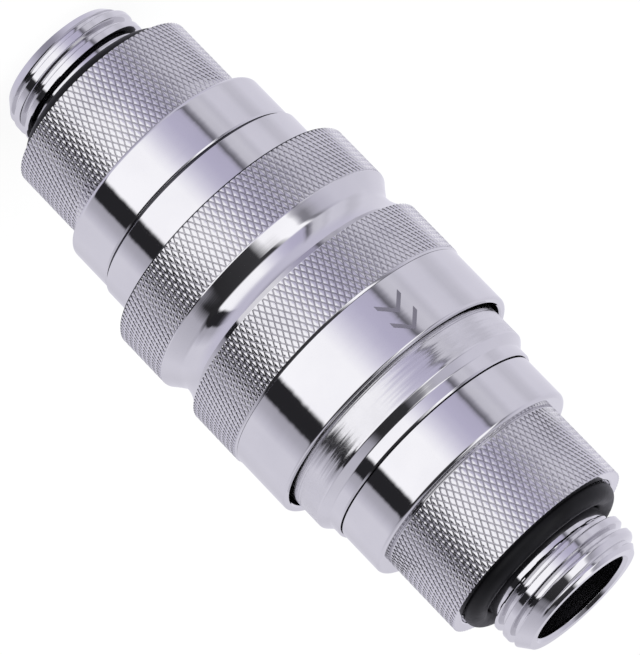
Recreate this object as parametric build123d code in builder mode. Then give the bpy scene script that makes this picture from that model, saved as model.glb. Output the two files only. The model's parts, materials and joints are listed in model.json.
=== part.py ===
"""Quick coupling for a liquid cooling loop, with a G 1/4 male thread at each end.

A socket and a plug, both turned from brass, are locked together by a ring of steel balls. The sliding
sleeve of the socket holds the balls in the plug's groove. Pushed towards the plug, it lets them out. Each
half holds a spring-loaded poppet valve, and the two poppets push each other open while the halves are
joined. The coupling stands on the socket's threaded end, with its axis along +Z. Sizes are in millimetres.
"""

import os

from build123d import *

os.makedirs("parts", exist_ok=True)

# Clearances
running_clearance = 0.05  # radial, between pieces that slide or screw together
seal_clearance = 0.03  # between a seal and the surface it closes on
seat_clearance = 0.02  # between a piece and the seat it lies on

# End fittings, the same at both ends
thread_diameter = 13.157  # G 1/4
thread_length = 5.4  # end face to collar face
thread_lead = 1.15  # axial length of the lead-in chamfer
thread_lead_depth = 0.58
relief_depth = 0.6285  # of the plain neck behind the thread
relief_length = 2.2  # collar face to the last thread
port_wall = 1.3  # around the port at the end face
collar_length = 7.6
collar_rim = 0.98  # around the thread seal's seat
collar_chamfer = 0.3
band_step = 1.175  # collar to the smooth band beside it
band_length = 4.45
band_round = 0.7
seam_chamfer = 0.2  # along the joint between a fitting and its body
thread_seal_section = 2.0
thread_seal_recess = 0.8  # depth of its seat in the collar face
thread_seal_spread = 0.15  # room around it in that seat

# Spigots that join each body to its end fitting
spigot_wall = 1.15  # outside the clip's groove
spigot_floor = 1.78  # wall between the thread seal's seat and the spigot's counterbore
joint_seal_section = 0.8
joint_seal_setback = 2.3  # seam to the seal's groove

# Socket body
guide_length = 6.55  # ring that the sleeve slides on
guide_step = 0.225  # above the band of the end fitting beside it
barrel_length = 13.0
barrel_lead = 0.5  # chamfer at the mouth
nose_seal_section = 0.9
nose_seal_setback = 1.6  # bore floor to the seal's groove

# Ball lock
ball_diameter = 2.5
ball_count = 6
ball_bite = 0.85  # how far the balls reach into the plug's nose
ball_wall = 0.3  # between the guide ring's face and the ball holes
ball_lip = 0.1  # height of the lip that keeps the balls from falling inwards

# Sleeve
sleeve_travel = 3.0
cove_depth = 1.1  # below the knurled rings
sleeve_band_step = 0.125  # knurled rings to the smooth band
skirt_wall = 1.8  # outside the guide ring
sleeve_skirt = 2.65  # part of the sleeve that lies over the guide ring
rear_ring_length = 5.1
cove_rear_slope = 1.6
cove_floor = 1.1
cove_front_slope = 1.3
cove_round = 1.0
front_ring_length = 5.25
sleeve_band_length = 5.65
sleeve_edge = 0.35
rib_length = 4.45  # inner rib that holds the balls and carries the spring
rib_ramp = 0.5
lip_land = 0.075  # flat between the two rounded edges of the lip
lip_edge = 0.25

# Sleeve spring and what holds it
sleeve_spring_wire = 0.7
sleeve_spring_turns = 4
washer_thickness = 0.5
snap_ring_thickness = 0.7
snap_ring_width = 1.2
snap_ring_depth = 0.35  # how deep it sits in the barrel
snap_ring_gap = 3.0
snap_ring_setback = 0.7  # barrel's mouth to the groove

# Plug body
nose_wall = 0.65  # outside the clip's groove
nose_chamfer = 0.6
flange_clearance = 0.375  # radial, inside the sleeve's lip
flange_length = 7.2
flange_edge = 0.3
shoulder_length = 0.7  # cone between the flange and the ring
ring_length = 1.15
face_gap = 0.1  # between the socket's mouth and the plug's flange
tip_gap = 0.2  # between the plug's nose and the floor of the socket's bore

# Valves, the same in both halves
valve_bore = 10.4
seat_shoulder = 1.6  # valve bore to the opening of the seat
seat_land = 0.9
poppet_travel = 2.0
poppet_clearance = 0.7  # radial, for the flow around the poppet
poppet_flange = 0.75
poppet_lip = 0.42
poppet_seal_width = 0.9
poppet_seal_depth = 0.9
stem_diameter = 2.5
stem_overhang = 0.2  # beyond the guide when the valve is shut
valve_spring_wire = 0.6
valve_spring_mean = 4.4
valve_spring_turns = 4
spring_chamber = 4.4  # length of the valve spring while the halves are joined
pocket_step = 0.55  # valve bore to the pocket that the guide sits in
guide_disc_thickness = 1.2
guide_hole_diameter = 1.9
guide_hole_count = 8
guide_rim = 0.8  # outside the holes
clip_thickness = 0.7
clip_width = 1.1
clip_depth = 0.4
clip_gap = 4.0
pocket_end = 0.75  # wall between the clip's groove and the end of the spigot

# Radii of an end fitting, from the thread outwards
thread_radius = thread_diameter / 2
thread_end_radius = thread_radius - thread_lead_depth
relief_radius = thread_radius - relief_depth
port_radius = thread_end_radius - port_wall
thread_seal_mean = relief_radius + thread_seal_section / 2 + seat_clearance
thread_recess_radius = thread_seal_mean + thread_seal_section / 2 + thread_seal_spread
collar_radius = thread_recess_radius + collar_rim
band_radius = collar_radius + band_step

# Radii of the sleeve and of what lies beside it, which follow the band
guide_radius = band_radius + guide_step
ring_radius = guide_radius
skirt_radius = guide_radius + running_clearance
sleeve_radius = skirt_radius + skirt_wall
cove_radius = sleeve_radius - cove_depth
sleeve_band_radius = sleeve_radius - sleeve_band_step
lip_radius = sleeve_band_radius - sleeve_edge - lip_land - lip_edge
flange_radius = lip_radius - flange_clearance

# Radii of the bodies and the lock, from the valve outwards
stem_radius = stem_diameter / 2
valve_bore_radius = valve_bore / 2
seat_radius = valve_bore_radius - seat_shoulder
poppet_radius = valve_bore_radius - poppet_clearance
poppet_root_radius = poppet_radius - poppet_seal_depth
pocket_radius = valve_bore_radius + pocket_step
guide_hole_circle_radius = pocket_radius - guide_rim - guide_hole_diameter / 2
clip_groove_radius = pocket_radius + clip_depth
clip_outer = clip_groove_radius - seat_clearance
clip_inner = clip_outer - clip_width
spigot_radius = clip_groove_radius + spigot_wall
counterbore_radius = spigot_radius + running_clearance
joint_groove_radius = counterbore_radius - seal_clearance - joint_seal_section
nose_radius = clip_groove_radius + nose_wall
nose_bore_radius = nose_radius + running_clearance
nose_seal_mean = nose_radius + seal_clearance + nose_seal_section / 2
nose_groove_radius = nose_seal_mean + nose_seal_section / 2 + seat_clearance
ball_radius = ball_diameter / 2
ball_circle_radius = nose_radius - ball_bite + ball_radius
barrel_radius = ball_circle_radius + ball_radius
rib_radius = barrel_radius + running_clearance
snap_groove_radius = barrel_radius - snap_ring_depth
snap_ring_inner = snap_groove_radius + seat_clearance
snap_ring_outer = snap_ring_inner + snap_ring_width
washer_radius = snap_ring_outer + 2 * running_clearance
spring_bore_radius = washer_radius + 4 * running_clearance
sleeve_spring_mean = (barrel_radius + spring_bore_radius) / 2

# Depths in a valve, counted from the plane where the two poppets meet
seat_face = tip_gap / 2
cone_start = seat_face + seat_land
cone_end = cone_start + valve_bore_radius - seat_radius
seal_bevel = poppet_seal_width / 2
seal_front_shut = cone_start + poppet_radius - seal_bevel - seat_radius + seal_clearance * 2**0.5
seal_front = seal_front_shut + poppet_travel
seal_back = seal_front + poppet_seal_width
poppet_back = seal_back + seat_clearance + poppet_flange
disc_front = poppet_back + spring_chamber
disc_back = disc_front + guide_disc_thickness
clip_groove_start = disc_back
clip_groove_end = clip_groove_start + clip_thickness + 2 * seat_clearance
spigot_end = clip_groove_end + pocket_end
stem_end = disc_back + stem_overhang + poppet_travel

# Heights along the axis, from the socket's threaded end
collar_low = thread_length
band_low = collar_low + collar_length
socket_seam = band_low + band_length
counterbore_floor = collar_low + thread_seal_recess + spigot_floor
socket_spigot_low = counterbore_floor + seat_clearance
spigot_length = socket_seam - socket_spigot_low
meeting_height = socket_spigot_low + spigot_end
bore_floor = meeting_height - seat_face
nose_tip = meeting_height + seat_face
nose_seal_low = bore_floor + nose_seal_setback
guide_top = socket_seam + guide_length
ball_height = guide_top + ball_wall + running_clearance + ball_radius
barrel_top = guide_top + barrel_length
rib_low = guide_top + seat_clearance
rib_top = rib_low + rib_length
sleeve_low = rib_low - sleeve_skirt
cove_low = sleeve_low + rear_ring_length
cove_top = cove_low + cove_rear_slope + cove_floor + cove_front_slope
sleeve_band_low = cove_top + front_ring_length
sleeve_top = sleeve_band_low + sleeve_band_length
snap_groove_top = barrel_top - snap_ring_setback
snap_groove_low = snap_groove_top - snap_ring_thickness - 2 * seat_clearance
washer_top = snap_groove_low
washer_low = washer_top - washer_thickness
flange_low = barrel_top + face_gap
flange_top = flange_low + flange_length
lip_low = flange_low - sleeve_travel - sleeve_edge
ring_low = flange_top + shoulder_length
plug_seam = ring_low + ring_length
plug_spigot_top = plug_seam + spigot_length
total_length = plug_seam + socket_seam

# Half turns that carry a socket piece over to its place in the plug
swap_ends = Axis((0, 0, total_length / 2), (1, 0, 0))
swap_valves = Axis((0, 0, meeting_height), (1, 0, 0))


def ring_profile(inner: float, outer: float, low: float, high: float) -> Sketch:
    """Return the square section of a ring, beside the axis."""
    with BuildSketch(Plane.XZ) as profile:
        with Locations(((inner + outer) / 2, (low + high) / 2)):
            Rectangle(outer - inner, high - low)
    return profile.sketch


def round_profile(mean: float, section: float, height: float) -> Sketch:
    """Return the round section of a ring, beside the axis."""
    with BuildSketch(Plane.XZ) as profile:
        with Locations((mean, height)):
            Circle(section / 2)
    return profile.sketch


def coil_spring(mean: float, wire: float, turns: float, low: float, high: float) -> Part:
    """Return a spring of square wire with its ends ground flat."""
    with BuildPart() as coil:
        with BuildLine():
            path = Helix(pitch=(high - low) / turns, height=high - low, radius=mean, center=(0, 0, low))
        with BuildSketch(Plane(origin=path @ 0, x_dir=(1, 0, 0), z_dir=path % 0)):
            Rectangle(wire, wire)
        sweep(path=path, is_frenet=True)
        with Locations((0, 0, (low + high) / 2)):
            Cylinder(mean + wire, high - low, mode=Mode.INTERSECT)
    return coil.part


def open_ring(inner: float, outer: float, low: float, high: float, gap: float) -> Part:
    """Return a snap ring, open towards +X."""
    with BuildPart() as ring:
        revolve(ring_profile(inner, outer, low, high), axis=Axis.Z)
        with Locations((outer, 0, (low + high) / 2)):
            Box(outer, gap, high - low, mode=Mode.SUBTRACT)
    return ring.part


# Socket end fitting
with BuildPart() as socket_end_fitting:
    with BuildSketch(Plane.XZ):
        with BuildLine():
            thread_end = (port_radius, 0)
            band_corner = (band_radius, band_low)
            outside = FilletPolyline(
                thread_end,
                (thread_end_radius, 0),
                (thread_radius, thread_lead),
                (thread_radius, collar_low - relief_length),
                (relief_radius, collar_low - relief_length + thread_radius - relief_radius),
                (relief_radius, collar_low + thread_seal_recess),
                (thread_recess_radius, collar_low + thread_seal_recess),
                (thread_recess_radius, collar_low),
                (collar_radius - collar_chamfer, collar_low),
                (collar_radius, collar_low + collar_chamfer),
                (collar_radius, band_low),
                band_corner,
                (band_radius, socket_seam - seam_chamfer),
                radius=[0] * 10 + [band_round],
            )
            Polyline(
                outside @ 1,
                (band_radius - seam_chamfer, socket_seam),
                (counterbore_radius, socket_seam),
                (counterbore_radius, counterbore_floor),
                (port_radius, counterbore_floor),
                thread_end,
            )
        make_face()
    revolve(axis=Axis.Z)

with BuildPart() as socket_thread_seal:
    thread_seal_height = collar_low + thread_seal_recess - seat_clearance - thread_seal_section / 2
    revolve(round_profile(thread_seal_mean, thread_seal_section, thread_seal_height), axis=Axis.Z)

with BuildPart() as socket_joint_seal:
    joint_seal_top = socket_seam - joint_seal_setback - seat_clearance
    revolve(
        ring_profile(
            joint_groove_radius + seat_clearance,
            counterbore_radius - seal_clearance,
            joint_seal_top - joint_seal_section,
            joint_seal_top,
        ),
        axis=Axis.Z,
    )

# Socket body
with BuildPart() as socket_body:
    with BuildSketch(Plane.XZ):
        with BuildLine():
            Polyline(
                (pocket_radius, socket_spigot_low),
                (spigot_radius, socket_spigot_low),
                (spigot_radius, socket_seam),
                (guide_radius - seam_chamfer, socket_seam),
                (guide_radius, socket_seam + seam_chamfer),
                (guide_radius, guide_top),
                (barrel_radius, guide_top),
                (barrel_radius, barrel_top),
                (nose_bore_radius + barrel_lead, barrel_top),
                (nose_bore_radius, barrel_top - barrel_lead),
                (nose_bore_radius, bore_floor),
                (seat_radius, bore_floor),
                (seat_radius, meeting_height - cone_start),
                (valve_bore_radius, meeting_height - cone_end),
                (valve_bore_radius, meeting_height - disc_front),
                (pocket_radius, meeting_height - disc_front),
                close=True,
            )
        make_face()
    revolve(axis=Axis.Z)
    joint_groove_top = socket_seam - joint_seal_setback
    joint_groove_low = joint_groove_top - joint_seal_section - 2 * seat_clearance
    revolve(
        ring_profile(joint_groove_radius, guide_radius, joint_groove_low, joint_groove_top),
        axis=Axis.Z,
        mode=Mode.SUBTRACT,
    )
    nose_groove_top = nose_seal_low + nose_seal_section + 2 * seat_clearance
    revolve(
        ring_profile(seat_radius, nose_groove_radius, nose_seal_low, nose_groove_top),
        axis=Axis.Z,
        mode=Mode.SUBTRACT,
    )
    revolve(
        ring_profile(snap_groove_radius, guide_radius, snap_groove_low, snap_groove_top),
        axis=Axis.Z,
        mode=Mode.SUBTRACT,
    )
    revolve(
        ring_profile(
            stem_radius,
            clip_groove_radius,
            meeting_height - clip_groove_end,
            meeting_height - clip_groove_start,
        ),
        axis=Axis.Z,
        mode=Mode.SUBTRACT,
    )
    # The ball holes narrow at the bore, where a lip keeps the balls in
    lip_top_radius = nose_bore_radius + ball_lip
    lip_hole_radius = (ball_radius**2 - (ball_circle_radius - lip_top_radius) ** 2) ** 0.5 + seat_clearance
    with Locations((0, 0, ball_height)):
        with PolarLocations(lip_top_radius, ball_count):
            Cylinder(
                ball_radius + running_clearance,
                guide_radius - lip_top_radius,
                rotation=(0, 90, 0),
                align=(Align.CENTER, Align.CENTER, Align.MIN),
                mode=Mode.SUBTRACT,
            )
        with PolarLocations(nose_bore_radius, ball_count):
            Cylinder(lip_hole_radius, 4 * ball_lip, rotation=(0, 90, 0), mode=Mode.SUBTRACT)

with BuildPart() as nose_seal:
    nose_seal_height = nose_seal_low + seat_clearance + nose_seal_section / 2
    revolve(round_profile(nose_seal_mean, nose_seal_section, nose_seal_height), axis=Axis.Z)

with BuildPart() as locking_balls:
    with Locations((0, 0, ball_height)):
        with PolarLocations(ball_circle_radius, ball_count):
            Sphere(ball_radius)

# Sleeve, its spring and what holds them on the barrel
with BuildPart() as locking_sleeve:
    with BuildSketch(Plane.XZ):
        with BuildLine():
            outside = FilletPolyline(
                (sleeve_radius - sleeve_edge, sleeve_low),
                (sleeve_radius, sleeve_low + sleeve_edge),
                (sleeve_radius, cove_low),
                (cove_radius, cove_low + cove_rear_slope),
                (cove_radius, cove_top - cove_front_slope),
                (sleeve_radius, cove_top),
                (sleeve_radius, sleeve_band_low),
                (sleeve_band_radius, sleeve_band_low),
                (sleeve_band_radius, sleeve_top),
                (lip_radius + lip_edge, sleeve_top),
                radius=[0, cove_round, cove_round, cove_round, 0, 0, 0, sleeve_edge],
            )
            Polyline(
                outside @ 1,
                (lip_radius, sleeve_top - lip_edge),
                (lip_radius, lip_low),
                (spring_bore_radius, lip_low),
                (spring_bore_radius, rib_top),
                (rib_radius, rib_top),
                (rib_radius, rib_low + rib_ramp),
                (rib_radius + rib_ramp, rib_low),
                (skirt_radius, rib_low),
                (skirt_radius, sleeve_low),
                outside @ 0,
            )
        make_face()
    revolve(axis=Axis.Z)

with BuildPart() as sleeve_spring:
    add(
        coil_spring(
            sleeve_spring_mean,
            sleeve_spring_wire,
            sleeve_spring_turns,
            rib_top + seat_clearance,
            washer_low - seat_clearance,
        )
    )

with BuildPart() as spring_washer:
    revolve(
        ring_profile(barrel_radius + running_clearance, washer_radius, washer_low, washer_top - seat_clearance),
        axis=Axis.Z,
    )

with BuildPart() as sleeve_snap_ring:
    add(
        open_ring(
            snap_ring_inner,
            snap_ring_outer,
            snap_groove_low + seat_clearance,
            snap_groove_top - seat_clearance,
            snap_ring_gap,
        )
    )

# Socket valve
with BuildPart() as socket_poppet:
    with BuildSketch(Plane.XZ):
        with BuildLine():
            poppet_lip_back = meeting_height - seal_front + seat_clearance
            poppet_lip_radius = poppet_root_radius + poppet_lip / 2
            Polyline(
                (0, meeting_height - seat_clearance / 2),
                (stem_radius, meeting_height - seat_clearance / 2),
                (stem_radius, poppet_lip_back + poppet_lip),
                (poppet_lip_radius - poppet_lip, poppet_lip_back + poppet_lip),
                (poppet_lip_radius, poppet_lip_back),
                (poppet_root_radius, poppet_lip_back),
                (poppet_root_radius, meeting_height - seal_back - seat_clearance),
                (poppet_radius, meeting_height - seal_back - seat_clearance),
                (poppet_radius, meeting_height - poppet_back),
                (stem_radius, meeting_height - poppet_back),
                (stem_radius, meeting_height - stem_end),
                (0, meeting_height - stem_end),
                close=True,
            )
        make_face()
    revolve(axis=Axis.Z)

with BuildPart() as socket_poppet_seal:
    with BuildSketch(Plane.XZ):
        with BuildLine():
            Polyline(
                (poppet_root_radius + seat_clearance, meeting_height - seal_front),
                (poppet_radius - seal_bevel, meeting_height - seal_front),
                (poppet_radius, meeting_height - seal_front - seal_bevel),
                (poppet_radius, meeting_height - seal_back),
                (poppet_root_radius + seat_clearance, meeting_height - seal_back),
                close=True,
            )
        make_face()
    revolve(axis=Axis.Z)

with BuildPart() as socket_valve_spring:
    add(
        coil_spring(
            valve_spring_mean / 2,
            valve_spring_wire,
            valve_spring_turns,
            meeting_height - disc_front + seat_clearance,
            meeting_height - poppet_back - seat_clearance,
        )
    )

with BuildPart() as socket_valve_guide:
    revolve(
        ring_profile(
            stem_radius + running_clearance,
            pocket_radius - running_clearance,
            meeting_height - disc_back,
            meeting_height - disc_front - seat_clearance,
        ),
        axis=Axis.Z,
    )
    with Locations((0, 0, meeting_height - disc_front)):
        with PolarLocations(guide_hole_circle_radius, guide_hole_count):
            Hole(guide_hole_diameter / 2)

with BuildPart() as socket_guide_clip:
    add(
        open_ring(
            clip_inner,
            clip_outer,
            meeting_height - clip_groove_end + seat_clearance,
            meeting_height - clip_groove_start - seat_clearance,
            clip_gap,
        )
    )

# Plug body
with BuildPart() as plug_body:
    with BuildSketch(Plane.XZ):
        with BuildLine():
            Polyline(
                (seat_radius, nose_tip),
                (nose_radius - nose_chamfer, nose_tip),
                (nose_radius, nose_tip + nose_chamfer),
                (nose_radius, flange_low),
                (flange_radius - flange_edge, flange_low),
                (flange_radius, flange_low + flange_edge),
                (flange_radius, flange_top),
                (ring_radius, ring_low),
                (ring_radius, plug_seam - seam_chamfer),
                (ring_radius - seam_chamfer, plug_seam),
                (spigot_radius, plug_seam),
                (spigot_radius, plug_spigot_top),
                (pocket_radius, plug_spigot_top),
                (pocket_radius, meeting_height + disc_front),
                (valve_bore_radius, meeting_height + disc_front),
                (valve_bore_radius, meeting_height + cone_end),
                (seat_radius, meeting_height + cone_start),
                close=True,
            )
        make_face()
    revolve(axis=Axis.Z)
    # Groove for the locking balls
    revolve(
        round_profile(ball_circle_radius, ball_diameter + 2 * running_clearance, ball_height),
        axis=Axis.Z,
        mode=Mode.SUBTRACT,
    )
    revolve(
        ring_profile(
            joint_groove_radius,
            guide_radius,
            plug_seam + joint_seal_setback,
            plug_seam + joint_seal_setback + joint_seal_section + 2 * seat_clearance,
        ),
        axis=Axis.Z,
        mode=Mode.SUBTRACT,
    )
    revolve(
        ring_profile(
            stem_radius,
            clip_groove_radius,
            meeting_height + clip_groove_start,
            meeting_height + clip_groove_end,
        ),
        axis=Axis.Z,
        mode=Mode.SUBTRACT,
    )

pieces = {
    "socket_end_fitting": socket_end_fitting.part,
    "socket_thread_seal": socket_thread_seal.part,
    "socket_joint_seal": socket_joint_seal.part,
    "socket_body": socket_body.part,
    "nose_seal": nose_seal.part,
    "locking_balls": locking_balls.part,
    "locking_sleeve": locking_sleeve.part,
    "sleeve_spring": sleeve_spring.part,
    "spring_washer": spring_washer.part,
    "sleeve_snap_ring": sleeve_snap_ring.part,
    "socket_poppet": socket_poppet.part,
    "socket_poppet_seal": socket_poppet_seal.part,
    "socket_valve_spring": socket_valve_spring.part,
    "socket_valve_guide": socket_valve_guide.part,
    "socket_guide_clip": socket_guide_clip.part,
    "plug_body": plug_body.part,
}

# The plug's end fitting, valve and seals are the socket's own, turned end for end
for shared in ("end_fitting", "thread_seal", "joint_seal"):
    with BuildPart() as plug_piece:
        add(pieces[f"socket_{shared}"].rotate(swap_ends, 180))
    pieces[f"plug_{shared}"] = plug_piece.part

for shared in ("poppet", "poppet_seal", "valve_spring", "valve_guide", "guide_clip"):
    with BuildPart() as plug_piece:
        add(pieces[f"socket_{shared}"].rotate(swap_valves, 180))
    pieces[f"plug_{shared}"] = plug_piece.part

for name, piece in pieces.items():
    piece.label = name
    export_step(piece, f"parts/{name}.step")
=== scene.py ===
"""Looks of a liquid cooling quick coupling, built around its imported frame.

The plated pieces are turned again here as smooth meshes, with the knurling and the threads that the plain
solids leave out. Sizes are in millimetres and angles in degrees, unless a comment says otherwise, and every
mesh is in metres, in the frame of the part.
"""

import json
import logging
import math
from dataclasses import dataclass
from enum import Enum

import bmesh
import bpy
from mathutils import Matrix, Vector

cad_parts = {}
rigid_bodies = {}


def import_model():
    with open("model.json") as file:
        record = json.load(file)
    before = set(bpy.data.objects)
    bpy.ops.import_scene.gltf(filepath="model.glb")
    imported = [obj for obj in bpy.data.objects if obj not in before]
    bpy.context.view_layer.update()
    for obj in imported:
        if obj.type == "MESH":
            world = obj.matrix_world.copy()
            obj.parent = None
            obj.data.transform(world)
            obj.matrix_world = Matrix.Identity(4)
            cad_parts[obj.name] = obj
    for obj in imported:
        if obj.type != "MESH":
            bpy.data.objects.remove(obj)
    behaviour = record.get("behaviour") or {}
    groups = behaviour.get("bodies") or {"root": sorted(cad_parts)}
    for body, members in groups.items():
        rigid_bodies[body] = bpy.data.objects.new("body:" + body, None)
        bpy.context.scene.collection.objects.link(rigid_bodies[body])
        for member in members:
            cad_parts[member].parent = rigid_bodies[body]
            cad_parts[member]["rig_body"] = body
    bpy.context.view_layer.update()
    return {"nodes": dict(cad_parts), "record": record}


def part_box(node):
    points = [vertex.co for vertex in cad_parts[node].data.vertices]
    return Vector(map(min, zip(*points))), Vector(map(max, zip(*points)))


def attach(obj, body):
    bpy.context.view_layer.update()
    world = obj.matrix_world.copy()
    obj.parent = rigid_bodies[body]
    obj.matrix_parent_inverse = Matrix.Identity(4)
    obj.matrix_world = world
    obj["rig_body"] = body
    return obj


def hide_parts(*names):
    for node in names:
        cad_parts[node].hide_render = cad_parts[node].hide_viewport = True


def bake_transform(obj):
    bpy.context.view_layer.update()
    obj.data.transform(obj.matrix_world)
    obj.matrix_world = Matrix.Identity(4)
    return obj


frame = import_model()

MM = 0.001
WELD = 0.0015 * MM  # in metres; points nearer than this become one
SHARP_ANGLE = math.radians(38)
SEAM_BREAK = (0.10, 0.15)  # radial and axial size of the broken edges beside the seams
FINE_STEP = math.radians(1.5)  # between the corners of broad mirrored arcs
MIDDLE_STEP = 3 * FINE_STEP  # of tighter ones
ARC_STEP = math.radians(9)
SUPPORT = 0.03  # distance from a rounded corner to the ring that keeps the flat beside it flat
CORNER_ROOM = 0.45  # share of an edge that one rounded corner may take
SUPPORT_ROOM = 0.1  # share of that room that the ring may take
ON_AXIS = 1e-6  # a point nearer to the axis than this lies on it
BODY_STEPS = 192  # points round the two bodies
RING_STEPS = 128  # round the rubber rings
VALVE_STEPS = 96  # round the valves

log = logging.getLogger("coupling")

Corner = tuple[float, float, float]  # radius, height and rounding
Point = tuple[float, float]  # radius and height
Cut = tuple[float, float, float]  # radius of a groove's floor, and its lower and upper height
Stop = tuple[float, float, float]  # direction, brightness and coolness
Place = tuple[float, float, float]  # in metres
Socket = bpy.types.NodeSocket
Material = bpy.types.Material
Mesh = bpy.types.Mesh


class Slot(Enum):
    """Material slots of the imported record."""

    CHROMED = "chromed_brass"
    SATIN = "satin_brass"
    BRASS = "bare_brass"
    BALL = "hardened_steel"
    SPRING = "spring_steel"
    RUBBER = "black_rubber"


class Kind(Enum):
    """Kinds of a recipe's named sizes: the socket's type, and the unit that its values are given in."""

    COUNT = ("NodeSocketInt", 1)
    LENGTH = ("NodeSocketFloat", MM)
    SHARE = ("NodeSocketFloat", 1.0)


def show(name: str, data: bpy.types.ID) -> bpy.types.Object:
    """Put a new object in the scene, at the origin.

    Args:
        name: Name of the object.
        data: Its mesh, camera or lamp.

    Returns:
        The object.
    """
    thing = bpy.data.objects.new(name, data)
    bpy.context.scene.collection.objects.link(thing)
    return thing


class NodeSheet:
    """A node tree that is being drawn, with short calls to place and join its nodes."""

    def __init__(self, tree: bpy.types.NodeTree) -> None:
        """Keep the tree and clear its nodes."""
        self.tree = tree
        tree.nodes.clear()

    def feed(self, socket: Socket, value: object) -> None:
        """Join a socket to another one, or set its value.

        Args:
            socket: Input socket.
            value: Output socket to join it to, or a plain value.
        """
        if isinstance(value, Socket):
            self.tree.links.new(value, socket)
        else:
            socket.default_value = value

    def add(self, kind: str, inputs: dict[str, object] | None = None, **settings: object) -> bpy.types.Node:
        """Place a node.

        Args:
            kind: Blender's name of the node type.
            inputs: Values or sockets by input name.
            settings: Properties of the node itself.

        Returns:
            The new node.
        """
        node = self.tree.nodes.new(kind)
        for name, value in settings.items():
            setattr(node, name, value)
        for name, value in (inputs or {}).items():
            self.feed(node.inputs[name], value)
        return node

    def calc(self, operation: str, *values: object, kind: str = "ShaderNodeMath") -> Socket:
        """Place a Math node.

        Args:
            operation: Blender's name of the operation.
            values: Numbers or sockets, in order.
            kind: Blender's name of the node type, where it is a vector's.

        Returns:
            The socket with the result.
        """
        node = self.add(kind, operation=operation)
        for socket, value in zip(node.inputs, values):
            self.feed(socket, value)
        return node.outputs[0]

    def ramp(self, factor: Socket, low: object, high: object, start: object = 0.0, end: object = 1.0,
             kind: str = "SMOOTHSTEP") -> Socket:
        """Place a clamped Map Range node.

        Args:
            factor: Socket to map.
            low: Value that gives start.
            high: Value that gives end.
            start: Result at low.
            end: Result at high.
            kind: Interpolation between them.

        Returns:
            The socket with the result.
        """
        inputs = {"Value": factor, "From Min": low, "From Max": high, "To Min": start, "To Max": end}
        return self.add("ShaderNodeMapRange", inputs, interpolation_type=kind).outputs["Result"]

    def combine(self, x: object = 0.0, y: object = 0.0, z: object = 0.0) -> Socket:
        """Return the vector of three numbers or sockets."""
        return self.add("ShaderNodeCombineXYZ", {"X": x, "Y": y, "Z": z}).outputs[0]

    def split(self, vector: Socket) -> dict[str, Socket]:
        """Return the three parts of a vector, by name."""
        return dict(self.add("ShaderNodeSeparateXYZ", {"Vector": vector}).outputs.items())

    def polar(self, radius: Socket, angle: Socket, height: Socket) -> Socket:
        """Return the point at a radius and an angle round the axis."""
        across = self.calc("MULTIPLY", radius, self.calc("COSINE", angle))
        return self.combine(across, self.calc("MULTIPLY", radius, self.calc("SINE", angle)), height)

    def mix(self, kind: str, sort: str, pair: tuple[object, object], inputs: dict[str, object] | None = None,
            **settings: object) -> Socket:
        """Place a node that joins two colours or two shaders.

        Args:
            kind: Blender's name of the node type.
            sort: Blender's name of the sort of socket that is joined.
            pair: The two colours or shaders.
            inputs: Other values or sockets by input name.
            settings: Properties of the node itself.

        Returns:
            The socket with the result.
        """
        node = self.add(kind, inputs, **settings)
        for socket, value in zip([socket for socket in node.inputs if socket.type == sort], pair):
            self.feed(socket, value)
        return next(socket for socket in node.outputs if socket.type == sort)


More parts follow.
